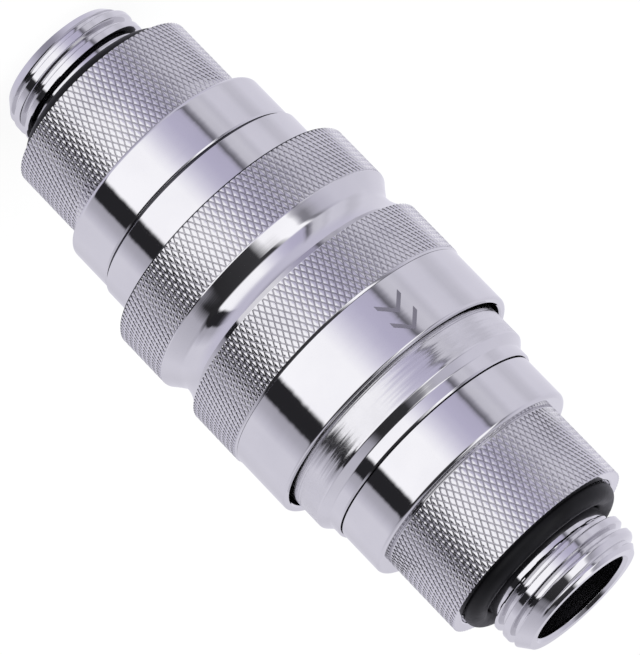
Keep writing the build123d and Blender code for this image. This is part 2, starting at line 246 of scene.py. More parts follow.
class Recipe(NodeSheet):
    """A Geometry Nodes tree with named sizes, which ends in Realize Instances and Set Material."""

    def __init__(self, name: str, sizes: dict[Kind, tuple[str, ...]]) -> None:
        """Make the tree and its named inputs.

        Args:
            name: Name of the tree.
            sizes: Names of the sizes of each kind.
        """
        super().__init__(bpy.data.node_groups.new(name, "GeometryNodeTree"))
        face = self.tree.interface
        face.new_socket("Geometry", in_out="OUTPUT", socket_type="NodeSocketGeometry")
        face.new_socket("Blank", in_out="INPUT", socket_type="NodeSocketGeometry")
        self.keys: dict[str, str] = {}
        self.units: dict[str, float] = {}
        for kind, names in sizes.items():
            socket_type, unit = kind.value
            for size in names:
                self.keys[size] = face.new_socket(size, in_out="INPUT", socket_type=socket_type).identifier
                self.units[size] = unit
        finish = face.new_socket("Finish", in_out="INPUT", socket_type="NodeSocketMaterial")
        self.keys["Finish"] = finish.identifier
        self.given = self.tree.nodes.new("NodeGroupInput").outputs

    def place(self) -> dict[str, Socket]:
        """Return the three parts of each point's own place."""
        return self.split(self.add("GeometryNodeInputPosition").outputs[0])

    def lift(self, geometry: Socket, height: Socket) -> Socket:
        """Return geometry moved up."""
        inputs = {"Geometry": geometry, "Translation": self.combine(z=height)}
        return self.add("GeometryNodeTransform", inputs).outputs[0]

    def wrap(self, geometry: Socket, place: Socket) -> Socket:
        """Move every point to its place and weld the seams.

        Args:
            geometry: Geometry to move.
            place: Place of each point.

        Returns:
            The socket with the result.
        """
        placed = self.add("GeometryNodeSetPosition", {"Geometry": geometry, "Position": place})
        inputs = {"Geometry": placed.outputs[0], "Distance": WELD}
        return self.add("GeometryNodeMergeByDistance", inputs).outputs[0]

    def close(self, geometry: Socket) -> None:
        """End the tree.

        Args:
            geometry: Socket with the finished geometry.
        """
        realized = self.add("GeometryNodeRealizeInstances", {"Geometry": geometry})
        dressed = self.add("GeometryNodeSetMaterial", {
            "Geometry": realized.outputs[0], "Material": self.given["Finish"]})
        self.add("NodeGroupOutput", {"Geometry": dressed.outputs[0]}, is_active_output=True)

    def make(self, sizes: dict[str, float], finish: Material, blank: Mesh | None = None) -> Mesh:
        """Run the tree once.

        Args:
            sizes: Value of each named size.
            finish: Material of the result.
            blank: Mesh that the tree starts from, where it has one.

        Returns:
            A plain mesh.
        """
        holder = show(self.tree.name, blank or bpy.data.meshes.new(self.tree.name))
        modifier = holder.modifiers.new("Recipe", "NODES")
        modifier.node_group = self.tree
        modifier[self.keys["Finish"]] = finish
        for size, value in sizes.items():
            modifier[self.keys[size]] = value * self.units[size]
        graph = bpy.context.evaluated_depsgraph_get()
        mesh = bpy.data.meshes.new_from_object(holder.evaluated_get(graph), depsgraph=graph)
        holder.modifiers.clear()
        bpy.data.objects.remove(holder)
        return mesh


def knurl_recipe() -> Recipe:
    """Draw the tree that lays low-domed diamonds round a cylinder.

    Returns:
        The recipe.
    """
    recipe = Recipe("Diamond knurl", {
        Kind.COUNT: ("Around", "Rows"), Kind.LENGTH: ("Low", "High", "Root", "Depth"),
        Kind.SHARE: ("Shoulder Share", "Shoulder Height", "Top Share")})
    given, calc = recipe.given, recipe.calc
    sides = 4  # of a diamond
    index = recipe.add("GeometryNodeInputIndex").outputs[0]
    row = calc("FLOOR", calc("DIVIDE", index, given["Around"]))
    column = calc("MODULO", index, given["Around"])
    shifted = calc("MULTIPLY_ADD", calc("MODULO", row, 2.0), 0.5, column)
    pitch = calc("DIVIDE", math.tau, given["Around"])
    half_height = calc("DIVIDE", calc("SUBTRACT", given["High"], given["Low"]), given["Rows"])
    # The diamonds are laid out flat, with the angle along X and the height along Y, and then wrapped
    centre = recipe.combine(
        calc("MULTIPLY", shifted, pitch), calc("MULTIPLY_ADD", row, half_height, given["Low"]))
    count = calc("MULTIPLY", given["Around"], calc("ADD", given["Rows"], 1.0))
    points = recipe.add("GeometryNodePoints", {"Count": count, "Position": centre})
    flank = recipe.add("GeometryNodeMeshCone", {
        "Vertices": sides, "Radius Top": given["Shoulder Share"], "Radius Bottom": 1.0,
        "Depth": given["Shoulder Height"]}, fill_type="NONE")
    crown = recipe.add("GeometryNodeMeshCone", {
        "Vertices": sides, "Radius Top": given["Top Share"], "Radius Bottom": given["Shoulder Share"],
        "Depth": calc("SUBTRACT", 1.0, given["Shoulder Height"])})
    opened = recipe.add("GeometryNodeDeleteGeometry", {
        "Geometry": crown.outputs["Mesh"], "Selection": crown.outputs["Bottom"]}, domain="FACE")
    shell = recipe.add("GeometryNodeJoinGeometry")
    for layer in (flank.outputs["Mesh"], recipe.lift(opened.outputs[0], given["Shoulder Height"])):
        recipe.feed(shell.inputs[0], layer)
    laid = recipe.add("GeometryNodeInstanceOnPoints", {
        "Points": points.outputs[0], "Instance": shell.outputs[0],
        "Scale": recipe.combine(calc("MULTIPLY", pitch, 0.5), half_height, given["Depth"])})
    realized = recipe.add("GeometryNodeRealizeInstances", {"Geometry": laid.outputs[0]})
    flat = recipe.place()
    height = calc("MINIMUM", calc("MAXIMUM", flat["Y"], given["Low"]), given["High"])
    wrapped = recipe.polar(calc("ADD", given["Root"], flat["Z"]), flat["X"], height)
    recipe.close(recipe.wrap(realized.outputs[0], wrapped))
    return recipe


def thread_recipe() -> Recipe:
    """Draw the tree that winds a rounded thread up from the end face, with a lead-in and a run-out.

    Returns:
        The recipe.
    """
    recipe = Recipe("Pipe thread", {
        Kind.COUNT: ("Around", "Steps"),
        Kind.LENGTH: ("Pitch", "Crest", "Depth", "Lead Radius", "Lead", "Full", "Neck", "High")})
    given, calc = recipe.given, recipe.calc
    spare_turns = 1.2  # so that the winding covers both ends
    root_end, crest_start = 0.08, 0.30  # shares of the pitch, from the middle of the root
    turns = calc("ADD", calc("DIVIDE", given["High"], given["Pitch"]), spare_turns)
    rows = calc("CEIL", calc("MULTIPLY", turns, given["Steps"]))
    sheet = recipe.add("GeometryNodeMeshGrid", {
        "Size X": rows, "Size Y": math.tau, "Vertices X": calc("ADD", rows, 1.0),
        "Vertices Y": calc("ADD", given["Around"], 1.0)})
    flat = recipe.place()
    row = calc("ROUND", calc("MULTIPLY_ADD", rows, 0.5, flat["X"]))
    phase = calc("DIVIDE", row, given["Steps"])
    angle = calc("ADD", flat["Y"], math.pi)
    climb = calc("ADD", calc("SUBTRACT", phase, 1.0), calc("DIVIDE", angle, math.tau))
    height = calc("MULTIPLY", climb, given["Pitch"])
    height = calc("MINIMUM", calc("MAXIMUM", height, 0.0), given["High"])
    ridge = recipe.ramp(calc("PINGPONG", phase, 0.5), root_end, crest_start)
    valley = calc("SUBTRACT", 1.0, ridge)
    radius = calc("SUBTRACT", given["Crest"], calc("MULTIPLY", valley, given["Depth"]))
    lead = recipe.ramp(height, 0.0, given["Lead"], given["Lead Radius"], given["Crest"], "LINEAR")
    relief = recipe.ramp(height, given["Full"], given["High"], given["Crest"], given["Neck"], "LINEAR")
    run_out = recipe.ramp(height, given["Full"], given["High"], kind="LINEAR")
    radius = calc("MINIMUM", calc("MINIMUM", radius, lead), relief)
    missing = calc("SUBTRACT", given["Neck"], radius)
    radius = calc("MULTIPLY_ADD", missing, calc("MULTIPLY", run_out, run_out), radius)
    recipe.close(recipe.wrap(sheet.outputs["Mesh"], recipe.polar(radius, angle, height)))
    return recipe


def spring_recipe() -> Recipe:
    """Draw the tree that winds a spring of round wire, standing on its low end.

    Returns:
        The recipe.
    """
    recipe = Recipe("Coil spring", {Kind.LENGTH: ("Mean", "Wire", "Low", "High"), Kind.SHARE: ("Turns",)})
    given, calc = recipe.given, recipe.calc
    steps_per_turn, wire_sides = 40, 12
    rise = calc("SUBTRACT", calc("SUBTRACT", given["High"], given["Low"]), given["Wire"])
    half_wire = calc("MULTIPLY", given["Wire"], 0.5)
    path = recipe.add("GeometryNodeCurveSpiral", {
        "Resolution": steps_per_turn, "Rotations": given["Turns"], "Start Radius": given["Mean"],
        "End Radius": given["Mean"], "Height": rise})
    section = recipe.add("GeometryNodeCurvePrimitiveCircle", {"Resolution": wire_sides, "Radius": half_wire})
    wire = recipe.add("GeometryNodeCurveToMesh", {
        "Curve": path.outputs[0], "Profile Curve": section.outputs["Curve"], "Fill Caps": True})
    recipe.close(recipe.lift(wire.outputs[0], calc("ADD", given["Low"], half_wire)))
    return recipe


def ring_of(recipe: Recipe, item: Socket) -> Socket:
    """Add nodes that repeat one item in a ring, each turned to face outwards.

    Args:
        recipe: Tree with the inputs Count, Circle and Height.
        item: Geometry to repeat, with its outward side along X.

    Returns:
        The socket with the ring of instances.
    """
    given = recipe.given
    index = recipe.add("GeometryNodeInputIndex").outputs[0]
    angle = recipe.calc("MULTIPLY", index, recipe.calc("DIVIDE", math.tau, given["Count"]))
    place = recipe.polar(given["Circle"], angle, given["Height"])
    points = recipe.add("GeometryNodePoints", {"Count": given["Count"], "Position": place})
    return recipe.add("GeometryNodeInstanceOnPoints", {
        "Points": points.outputs[0], "Instance": item, "Rotation": recipe.combine(z=angle)}).outputs[0]


def ball_recipe() -> Recipe:
    """Draw the tree that sets balls in a ring.

    Returns:
        The recipe.
    """
    recipe = Recipe("Ball ring", {Kind.COUNT: ("Count",), Kind.LENGTH: ("Circle", "Height", "Radius")})
    segments, rings = 32, 16
    ball = recipe.add("GeometryNodeMeshUVSphere", {
        "Segments": segments, "Rings": rings, "Radius": recipe.given["Radius"]})
    recipe.close(ring_of(recipe, ball.outputs["Mesh"]))
    return recipe


def hole_recipe() -> Recipe:
    """Draw the tree that drills a ring of holes through a turned blank, square to its axis.

    Returns:
        The recipe.
    """
    recipe = Recipe("Ball holes", {
        Kind.COUNT: ("Count",), Kind.LENGTH: ("Circle", "Height", "Radius", "Length")})
    drill_sides = 32
    drill = recipe.add("GeometryNodeMeshCylinder", {
        "Vertices": drill_sides, "Radius": recipe.given["Radius"], "Depth": recipe.given["Length"]})
    aimed = recipe.add("GeometryNodeTransform", {
        "Geometry": drill.outputs["Mesh"], "Rotation": (0.0, math.pi / 2, 0.0)})
    drills = recipe.add("GeometryNodeRealizeInstances", {"Geometry": ring_of(recipe, aimed.outputs[0])})
    cut = recipe.add("GeometryNodeMeshBoolean", operation="DIFFERENCE", solver="EXACT")
    recipe.feed(cut.inputs["Mesh 1"], recipe.given["Blank"])
    recipe.feed(cut.inputs["Mesh 2"], drills.outputs[0])
    recipe.close(cut.outputs["Mesh"])
    return recipe


def rounded(corners: list[Corner], loop: bool = False) -> list[Point]:
    """Round the corners of an outline.

    Args:
        corners: Radius and height of each corner, and the radius that rounds it.
        loop: True where the last corner joins the first.

    Returns:
        The points of the outline, with a support point beside each rounded corner.
    """
    spots = [Vector(corner[:2]) for corner in corners]
    outline: list[Point] = []
    count = len(spots)
    for number, (spot, corner) in enumerate(zip(spots, corners)):
        at_end = not loop and number in (0, count - 1)
        if at_end or corner[2] <= 0:
            outline.append(tuple(spot))
            continue
        to_last = spots[number - 1] - spot
        to_next = spots[(number + 1) % count] - spot
        half_turn = (math.pi - to_last.angle(to_next)) / 2
        room = CORNER_ROOM * min(to_last.length, to_next.length)
        to_last.normalize()
        to_next.normalize()
        reach = min(corner[2] * math.tan(half_turn), room)
        radius = reach / math.tan(half_turn)
        start, end = spot + to_last * reach, spot + to_next * reach
        middle = spot + (to_last + to_next).normalized() * math.hypot(reach, radius)
        support = min(SUPPORT, SUPPORT_ROOM * room)
        outline.append(tuple(start + to_last * support))
        steps = max(2, math.ceil(2 * half_turn / ARC_STEP))
        first, last = start - middle, end - middle
        sweep = first.angle_signed(last)
        for step in range(steps + 1):
            outline.append(tuple(middle + Matrix.Rotation(-sweep * step / steps, 2) @ first))
        outline.append(tuple(end + to_next * support))
    return outline


def arc(centre: Point, radius: float, start: float, end: float, step_angle: float = ARC_STEP) -> list[Corner]:
    """Return the corners along an arc.

    Args:
        centre: Middle of the arc.
        radius: Radius of the arc.
        start: First angle.
        end: Last angle.
        step_angle: Greatest angle between two corners, in radians.

    Returns:
        Corners that aren't rounded further.
    """
    steps = max(2, math.ceil(abs(math.radians(end - start)) / step_angle))
    angles = [math.radians(start + (end - start) * step / steps) for step in range(steps + 1)]
    return [(centre[0] + radius * math.cos(a), centre[1] + radius * math.sin(a), 0.0) for a in angles]


def seam_edge(radius: float, height: float) -> list[Corner]:
    """Return the broken edge of a turned piece below a seam, from the outside inwards."""
    return [(radius, height - SEAM_BREAK[1], SUPPORT), (radius - SEAM_BREAK[0], height, 0.0)]


def groove(radius: float, cut: Cut, edge: float) -> list[Corner]:
    """Return the corners of a groove, upwards.

    Args:
        radius: Radius of the surface that it is cut into.
        cut: Size of the groove.
        edge: Rounding of its corners.

    Returns:
        The four corners.
    """
    floor, low, high = cut
    return [(radius, low, edge), (floor, low, edge), (floor, high, edge), (radius, high, edge)]


class Workpiece:
    """One piece on the lathe: outlines are turned, meshes are grafted on, and all is welded to one mesh."""

    def __init__(self, name: str, around: int = 0) -> None:
        """Start an empty piece.

        Args:
            name: Name of the finished object.
            around: Points round the axis, where outlines are turned.
        """
        self.name = name
        self.around = around
        self.mesh = bmesh.new()
        self.finishes: list[Material] = []

    def finish_number(self, finish: Material) -> int:
        """Look up the number of a finish on this piece, adding it if it is new.

        Args:
            finish: Material to look up.

        Returns:
            Its number.
        """
        if finish not in self.finishes:
            self.finishes.append(finish)
        return self.finishes.index(finish)

    def turn(self, outline: list[Point], finish: Material, loop: bool = False) -> None:
        """Turn an outline round the axis.

        Args:
            outline: Radius and height of each point.
            finish: Material of the turned faces.
            loop: True where the last point joins the first.
        """
        number = self.finish_number(finish)
        angles = [math.tau * step / self.around for step in range(self.around)]
        rings = []
        for radius, height in outline:
            if radius < ON_AXIS:
                rings.append([self.mesh.verts.new((0.0, 0.0, height * MM))] * self.around)
                continue
            rings.append([self.mesh.verts.new((
                radius * math.cos(a) * MM, radius * math.sin(a) * MM, height * MM)) for a in angles])
        pairs = list(zip(rings, rings[1:])) + ([(rings[-1], rings[0])] if loop else [])
        for low, high in pairs:
            for step in range(self.around):
                onward = (step + 1) % self.around
                corners = list(dict.fromkeys((low[step], low[onward], high[onward], high[step])))
                self.mesh.faces.new(corners).material_index = number

    def graft(self, recipe: Recipe, sizes: dict[str, float], finish: Material,
              blank: Mesh | None = None) -> None:
        """Add what a recipe makes.

        Args:
            recipe: Tree that makes it.
            sizes: Value of each of its named sizes.
            finish: Material of the added faces.
            blank: Mesh that the tree starts from, where it has one.
        """
        mesh = recipe.make(sizes, finish, blank)
        number = self.finish_number(finish)
        before = len(self.mesh.faces)
        self.mesh.from_mesh(mesh)
        self.mesh.faces.ensure_lookup_table()
        for face in self.mesh.faces[before:]:
            face.material_index = number
        bpy.data.meshes.remove(mesh)

    def refinish(self, finish: Material, radii: Point, heights: Point) -> None:
        """Give faces another finish.

        Args:
            finish: Material that they get.
            radii: Least and greatest distance of their middles from the axis.
            heights: Least and greatest height of their middles.
        """
        number = self.finish_number(finish)
        for face in self.mesh.faces:
            middle = face.calc_center_median() / MM
            if radii[0] < middle.xy.length < radii[1] and heights[0] < middle.z < heights[1]:
                face.material_index = number

    def end_for_end(self, middle: float) -> None:
        """Turn the piece over, half a turn about the level line through a height."""
        turned = Matrix.Translation((0, 0, 2 * middle * MM)) @ Matrix.Rotation(math.pi, 4, "X")
        bmesh.ops.transform(self.mesh, matrix=turned, verts=self.mesh.verts)

    def blank(self) -> Mesh:
        """Weld the piece to one skin that faces outwards, take it off bare and start again.

        Returns:
            The bare mesh.
        """
        bmesh.ops.remove_doubles(self.mesh, verts=self.mesh.verts, dist=WELD)
        bmesh.ops.dissolve_degenerate(self.mesh, edges=self.mesh.edges, dist=WELD / 4)
        bmesh.ops.recalc_face_normals(self.mesh, faces=self.mesh.faces)
        mesh = bpy.data.meshes.new(self.name)
        self.mesh.to_mesh(mesh)
        self.mesh.clear()
        return mesh

    def take_off(self) -> bpy.types.Object:
        """Finish the piece and report it.

        Returns:
            The object, at the origin.
        """
        mesh = self.blank()
        self.mesh.free()
        for finish in self.finishes:
            mesh.materials.append(finish)
        mesh.shade_smooth()
        mesh.set_sharp_from_angle(angle=SHARP_ANGLE)
        uses = [0] * len(mesh.edges)
        for loop in mesh.loops:
            uses[loop.edge_index] += 1
        open_edges = sum(1 for count in uses if count != 2)
        log.info("%s: %d faces, %d open edges", self.name, len(mesh.polygons), open_edges)
        return show(self.name, mesh)


def stand_for(piece: bpy.types.Object, node: str, slot: Slot) -> None:
    """Let a finished piece stand for a node of the frame, whose solid is hidden."""
    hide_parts(node)


def seat(piece: bpy.types.Object, node: str, slot: Slot) -> None:
    """Let a finished piece stand for a node of the frame and ride on the same body.

    Args:
        piece: Finished piece.
        node: Node that it stands for.
        slot: Not used.
    """
    stand_for(piece, node, slot)
    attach(piece, frame["nodes"][node]["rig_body"])


def stretch(piece: bpy.types.Object, node: str, bodies: tuple[str, str], start: float, end: float) -> None:
    """Let a spring stand for its node.

    Args:
        piece: Finished spring.
        node: Node that it stands for.
        bodies: Not used.
        start: Not used.
        end: Not used.
    """
    stand_for(piece, node, Slot.SPRING)
    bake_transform(piece)


class SurfaceEffects:
    """Shader node groups that several finishes share."""

    def __init__(self) -> None:
        """Build the groups."""
        self.turning = self.turning_marks()
        self.chatter = self.chatter_marks()
        self.handling = self.handling_marks()

    @staticmethod
    def start(name: str, inputs: dict[str, float | None],
              outputs: tuple[str, ...]) -> tuple[NodeSheet, dict[str, Socket]]:
        """Start a shader node group.

        Args:
            name: Name of the group.
            inputs: Default of each named number, and None for a vector.
            outputs: Names of the outputs, of which Normal is a vector.

        Returns:
            The sheet to draw on, and the sockets with the group's inputs.
        """
        tree = bpy.data.node_groups.new(name, "ShaderNodeTree")
        for label, value in inputs.items():
            socket_type = "NodeSocketVector" if value is None else "NodeSocketFloat"
            socket = tree.interface.new_socket(label, in_out="INPUT", socket_type=socket_type)
            if value is not None:
                socket.default_value = value
        for label in outputs:
            socket_type = "NodeSocketVector" if label == "Normal" else "NodeSocketFloat"
            tree.interface.new_socket(label, in_out="OUTPUT", socket_type=socket_type)
        sheet = NodeSheet(tree)
        return sheet, dict(sheet.add("NodeGroupInput").outputs.items())

    @staticmethod
    def grain(sheet: NodeSheet, across: object, along: Socket, detail: float) -> Socket:
        """Draw noise that is stretched round the axis.

        Args:
            sheet: Sheet of the group.
            across: Grains per metre across the axis.
            along: Grains per metre along the axis.
            detail: Fineness of the noise.

        Returns:
            The socket with the noise, about 0.5 on average.
        """
        parts = sheet.split(sheet.add("ShaderNodeTexCoord").outputs["Object"])
        rates = {"X": across, "Y": across, "Z": along}
        drawn = sheet.combine(*(sheet.calc("MULTIPLY", parts[name], rate) for name, rate in rates.items()))
        noise = sheet.add("ShaderNodeTexNoise", {"Vector": drawn, "Scale": 1.0, "Detail": detail})
        return noise.outputs["Fac"]

    def turning_marks(self) -> bpy.types.NodeTree:
        """Draw the fine rings that a lathe tool leaves, as a height.

        Returns:
            The group.
        """
        sheet, given = self.start("Turning marks", {"Rings Per Metre": 9000.0, "Stretch": 60.0}, ("Height",))
        rings = given["Rings Per Metre"]
        height = self.grain(sheet, sheet.calc("DIVIDE", rings, given["Stretch"]), rings, detail=3.0)
        sheet.add("NodeGroupOutput", {"Height": height})
        return sheet.tree

    def chatter_marks(self) -> bpy.types.NodeTree:
        """Swing the normal of each ring to one side, as a chattering tool does.

        Returns:
            The group.
        """
        sheet, given = self.start(
            "Chatter marks", {"Rings Per Metre": 2200.0, "Swing": 0.04, "Base Normal": None}, ("Normal",))
        slow = 150.0  # per metre, round the piece
        kind = "ShaderNodeVectorMath"
        noise = self.grain(sheet, slow, given["Rings Per Metre"], detail=2.0)
        swing = sheet.calc("MULTIPLY", sheet.calc("SUBTRACT", noise, 0.5), given["Swing"])
        sideways = sheet.calc("CROSS_PRODUCT", (0.0, 0.0, 1.0), given["Base Normal"], kind=kind)
        push = sheet.calc("MULTIPLY", sideways, swing, kind=kind)
        swung = sheet.calc("ADD", given["Base Normal"], push, kind=kind)
        sheet.add("NodeGroupOutput", {"Normal": sheet.calc("NORMALIZE", swung, kind=kind)})
        return sheet.tree

    def handling_marks(self) -> bpy.types.NodeTree:
        """Draw faint smears and specks, as a roughness and a shade.

        Returns:
            The group.
        """
        sheet, given = self.start(
            "Handling marks", {"Roughness": 0.08, "Spread": 0.05}, ("Roughness", "Shade"))
        smears, specks = (220.0, 4.0), (2600.0, 2.0)  # scale per metre and detail
        speck_share = 0.35
        rough_span, shade_span = (0.35, 0.7), (0.3, 0.75)  # of the noise
        place = sheet.add("ShaderNodeTexCoord").outputs["Object"]
        smear, speck = (
            sheet.add("ShaderNodeTexNoise", {
                "Vector": place, "Scale": scale, "Detail": detail}).outputs["Fac"]
            for scale, detail in (smears, specks))
        both = sheet.calc("MULTIPLY_ADD", speck, speck_share, sheet.calc("MULTIPLY", smear, 1 - speck_share))
        rough = sheet.calc("MULTIPLY_ADD", sheet.ramp(both, *rough_span), given["Spread"], given["Roughness"])
        sheet.add("NodeGroupOutput", {"Roughness": rough, "Shade": sheet.ramp(smear, *shade_span)})
        return sheet.tree


@dataclass(frozen=True)
class Finish:
    """A procedural finish: a base shade with smears, a roughness that varies, and fine turning marks."""

    name: str
    light: tuple[float, float, float]
    dark: tuple[float, float, float]
    roughness: float
    spread: float
    metallic: float = 1.0
    rings_per_metre: float = 9000.0
    stretch: float = 60.0
    relief: float = 0.02  # share of the bump that shows
    relief_height: float = 0.004
    chatter: float = 0.0  # swing of the rings from side to side, as a slope
    chatter_rings: float = 2200.0  # per metre
    specular: float = 0.5

    def material(self, effects: SurfaceEffects) -> Material:
        """Build the material.

        Args:
            effects: Shared node groups.

        Returns:
            The new material.
        """
        material = bpy.data.materials.new(self.name)
        material.use_nodes = True
        sheet = NodeSheet(material.node_tree)
        marks = sheet.add("ShaderNodeGroup", {
            "Roughness": self.roughness, "Spread": self.spread}, node_tree=effects.handling).outputs
        rings = sheet.add("ShaderNodeGroup", {
            "Rings Per Metre": self.rings_per_metre, "Stretch": self.stretch}, node_tree=effects.turning)
        shade = sheet.mix("ShaderNodeMix", "RGBA", ((*self.light, 1.0), (*self.dark, 1.0)), {
            "Factor": marks["Shade"]}, data_type="RGBA")
        normal = sheet.add("ShaderNodeBump", {
            "Strength": self.relief, "Distance": self.relief_height * MM,
            "Height": rings.outputs["Height"]}).outputs["Normal"]
        if self.chatter > 0:
            normal = sheet.add("ShaderNodeGroup", {
                "Rings Per Metre": self.chatter_rings, "Swing": self.chatter, "Base Normal": normal,
            }, node_tree=effects.chatter).outputs["Normal"]
        shader = sheet.add("ShaderNodeBsdfPrincipled", {
            "Base Color": shade, "Metallic": self.metallic, "Roughness": marks["Roughness"], "Normal": normal,
            "Specular IOR Level": self.specular})
        sheet.add("ShaderNodeOutputMaterial", {"Surface": shader.outputs["BSDF"]})
        material.diffuse_color = (*self.light, 1.0)
        material.metallic = self.metallic
        material.roughness = self.roughness
        return material


POLISHED = Finish("Polished plating", (0.73, 0.725, 0.74), (0.70, 0.695, 0.715), 0.04, 0.03, relief=0.5,
                  chatter=0.02)
KNURLED = Finish("Knurled plating", (0.73, 0.725, 0.74), (0.66, 0.655, 0.68), 0.10, 0.07, relief=0.2)
SATIN = Finish("Satin plating", (0.72, 0.715, 0.73), (0.67, 0.665, 0.685), 0.13, 0.12, rings_per_metre=6000.0,
               stretch=120.0, relief=1.0, relief_height=0.02, chatter=0.32, chatter_rings=5200.0)
# Rougher plating inside the bores, its colour darkened far below the outside plating as painted shade
BORE_WITH_PAINTED_SHADE = Finish("Plated bore with painted shade", (0.30, 0.295, 0.31), (0.24, 0.235, 0.25), 0.16, 0.06, relief=0.05)
# Near-black plating as painted shade: the dark lines at the seams, the sleeve's fine groove and its rear
# chamfer
PAINTED_SHADE = Finish("Painted shade", (0.07, 0.07, 0.078), (0.05, 0.05, 0.056), 0.22, 0.1, relief=0.1)
BRASS = Finish("Turned brass", (0.62, 0.47, 0.22), (0.52, 0.38, 0.17), 0.20, 0.12, relief=0.5)
BALL_STEEL = Finish("Ground steel", (0.56, 0.56, 0.58), (0.50, 0.50, 0.53), 0.06, 0.05)
SPRING_STEEL = Finish("Drawn wire", (0.44, 0.44, 0.46), (0.34, 0.34, 0.36), 0.24, 0.15, relief=0.3)
RUBBER = Finish("Moulded rubber", (0.006, 0.006, 0.007), (0.011, 0.011, 0.013), 0.34, 0.16, metallic=0.0,
                rings_per_metre=2500.0, stretch=3.0, relief=0.25, relief_height=0.02, specular=0.13)
ETCHED = Finish("Etched mark", (0.36, 0.35, 0.38), (0.29, 0.285, 0.31), 0.45, 0.15, relief=0.6)


class Workshop:
    """Recipes and materials, built once and shared by all the pieces."""

    def __init__(self) -> None:
        """Build them."""
        effects = SurfaceEffects()
        self.polished = POLISHED.material(effects)
        self.knurled = KNURLED.material(effects)
        self.satin = SATIN.material(effects)
        self.bore = BORE_WITH_PAINTED_SHADE.material(effects)
        self.painted_shade = PAINTED_SHADE.material(effects)
        self.brass = BRASS.material(effects)
        self.ball_steel = BALL_STEEL.material(effects)
        self.spring_steel = SPRING_STEEL.material(effects)
        self.rubber = RUBBER.material(effects)
        self.etched = ETCHED.material(effects)
        self.knurl = knurl_recipe()
        self.thread = thread_recipe()
        self.spring = spring_recipe()
        self.balls = ball_recipe()
        self.holes = hole_recipe()


@dataclass
class Knurl:
    """A band of diamonds, with its tops at the outside of the piece."""

    around: int
    low: float
    high: float
    radius: float
    depth: float = 0.16
    cell: float = 0.525  # half the length of a diamond along the axis
    shoulder_share: float = 0.72
    shoulder_height: float = 0.80
    top_share: float = 0.24

    @property
    def root(self) -> float:
        """Radius at the bottom of the grooves."""
        return self.radius - self.depth

    def cut(self, shop: Workshop, piece: Workpiece) -> None:
        """Graft the band onto a piece.

        Args:
            shop: Shared recipes and materials.
            piece: Piece that is turned with two points for each diamond.
        """
        piece.graft(shop.knurl, {
            "Around": self.around, "Rows": round((self.high - self.low) / self.cell), "Low": self.low,
            "High": self.high, "Root": self.root, "Depth": self.depth, "Shoulder Share": self.shoulder_share,
            "Shoulder Height": self.shoulder_height, "Top Share": self.top_share}, shop.knurled)


@dataclass(frozen=True)
class Coil:
    """A spring of round wire."""

    mean: float
    wire: float
    turns: float = 4.0

    def wind(self, shop: Workshop, name: str, low: float, high: float) -> Workpiece:
        """Wind the spring.

        Args:
            shop: Shared recipes and materials.
            name: Name of the piece.
            low: Height that it stands on.
            high: Height that it reaches.

        Returns:
            The piece.
        """
        piece = Workpiece(name)
        piece.graft(shop.spring, {
            "Mean": self.mean, "Wire": self.wire, "Turns": self.turns, "Low": low, "High": high,
        }, shop.spring_steel)
        return piece


def rubber_ring(shop: Workshop, name: str, mean: float, section: float, height: float) -> Workpiece:
    """Return a rubber ring of round section.

    Args:
        shop: Shared materials.
        name: Name of the piece.
        mean: Radius to the middle of the section.
        section: Diameter of the section.
        height: Height of its middle.

    Returns:
        The piece.
    """
    piece = Workpiece(name, RING_STEPS)
    outline = arc((mean, height), section / 2, 0, 360)[:-1]
    piece.turn([corner[:2] for corner in outline], shop.rubber, loop=True)
    return piece


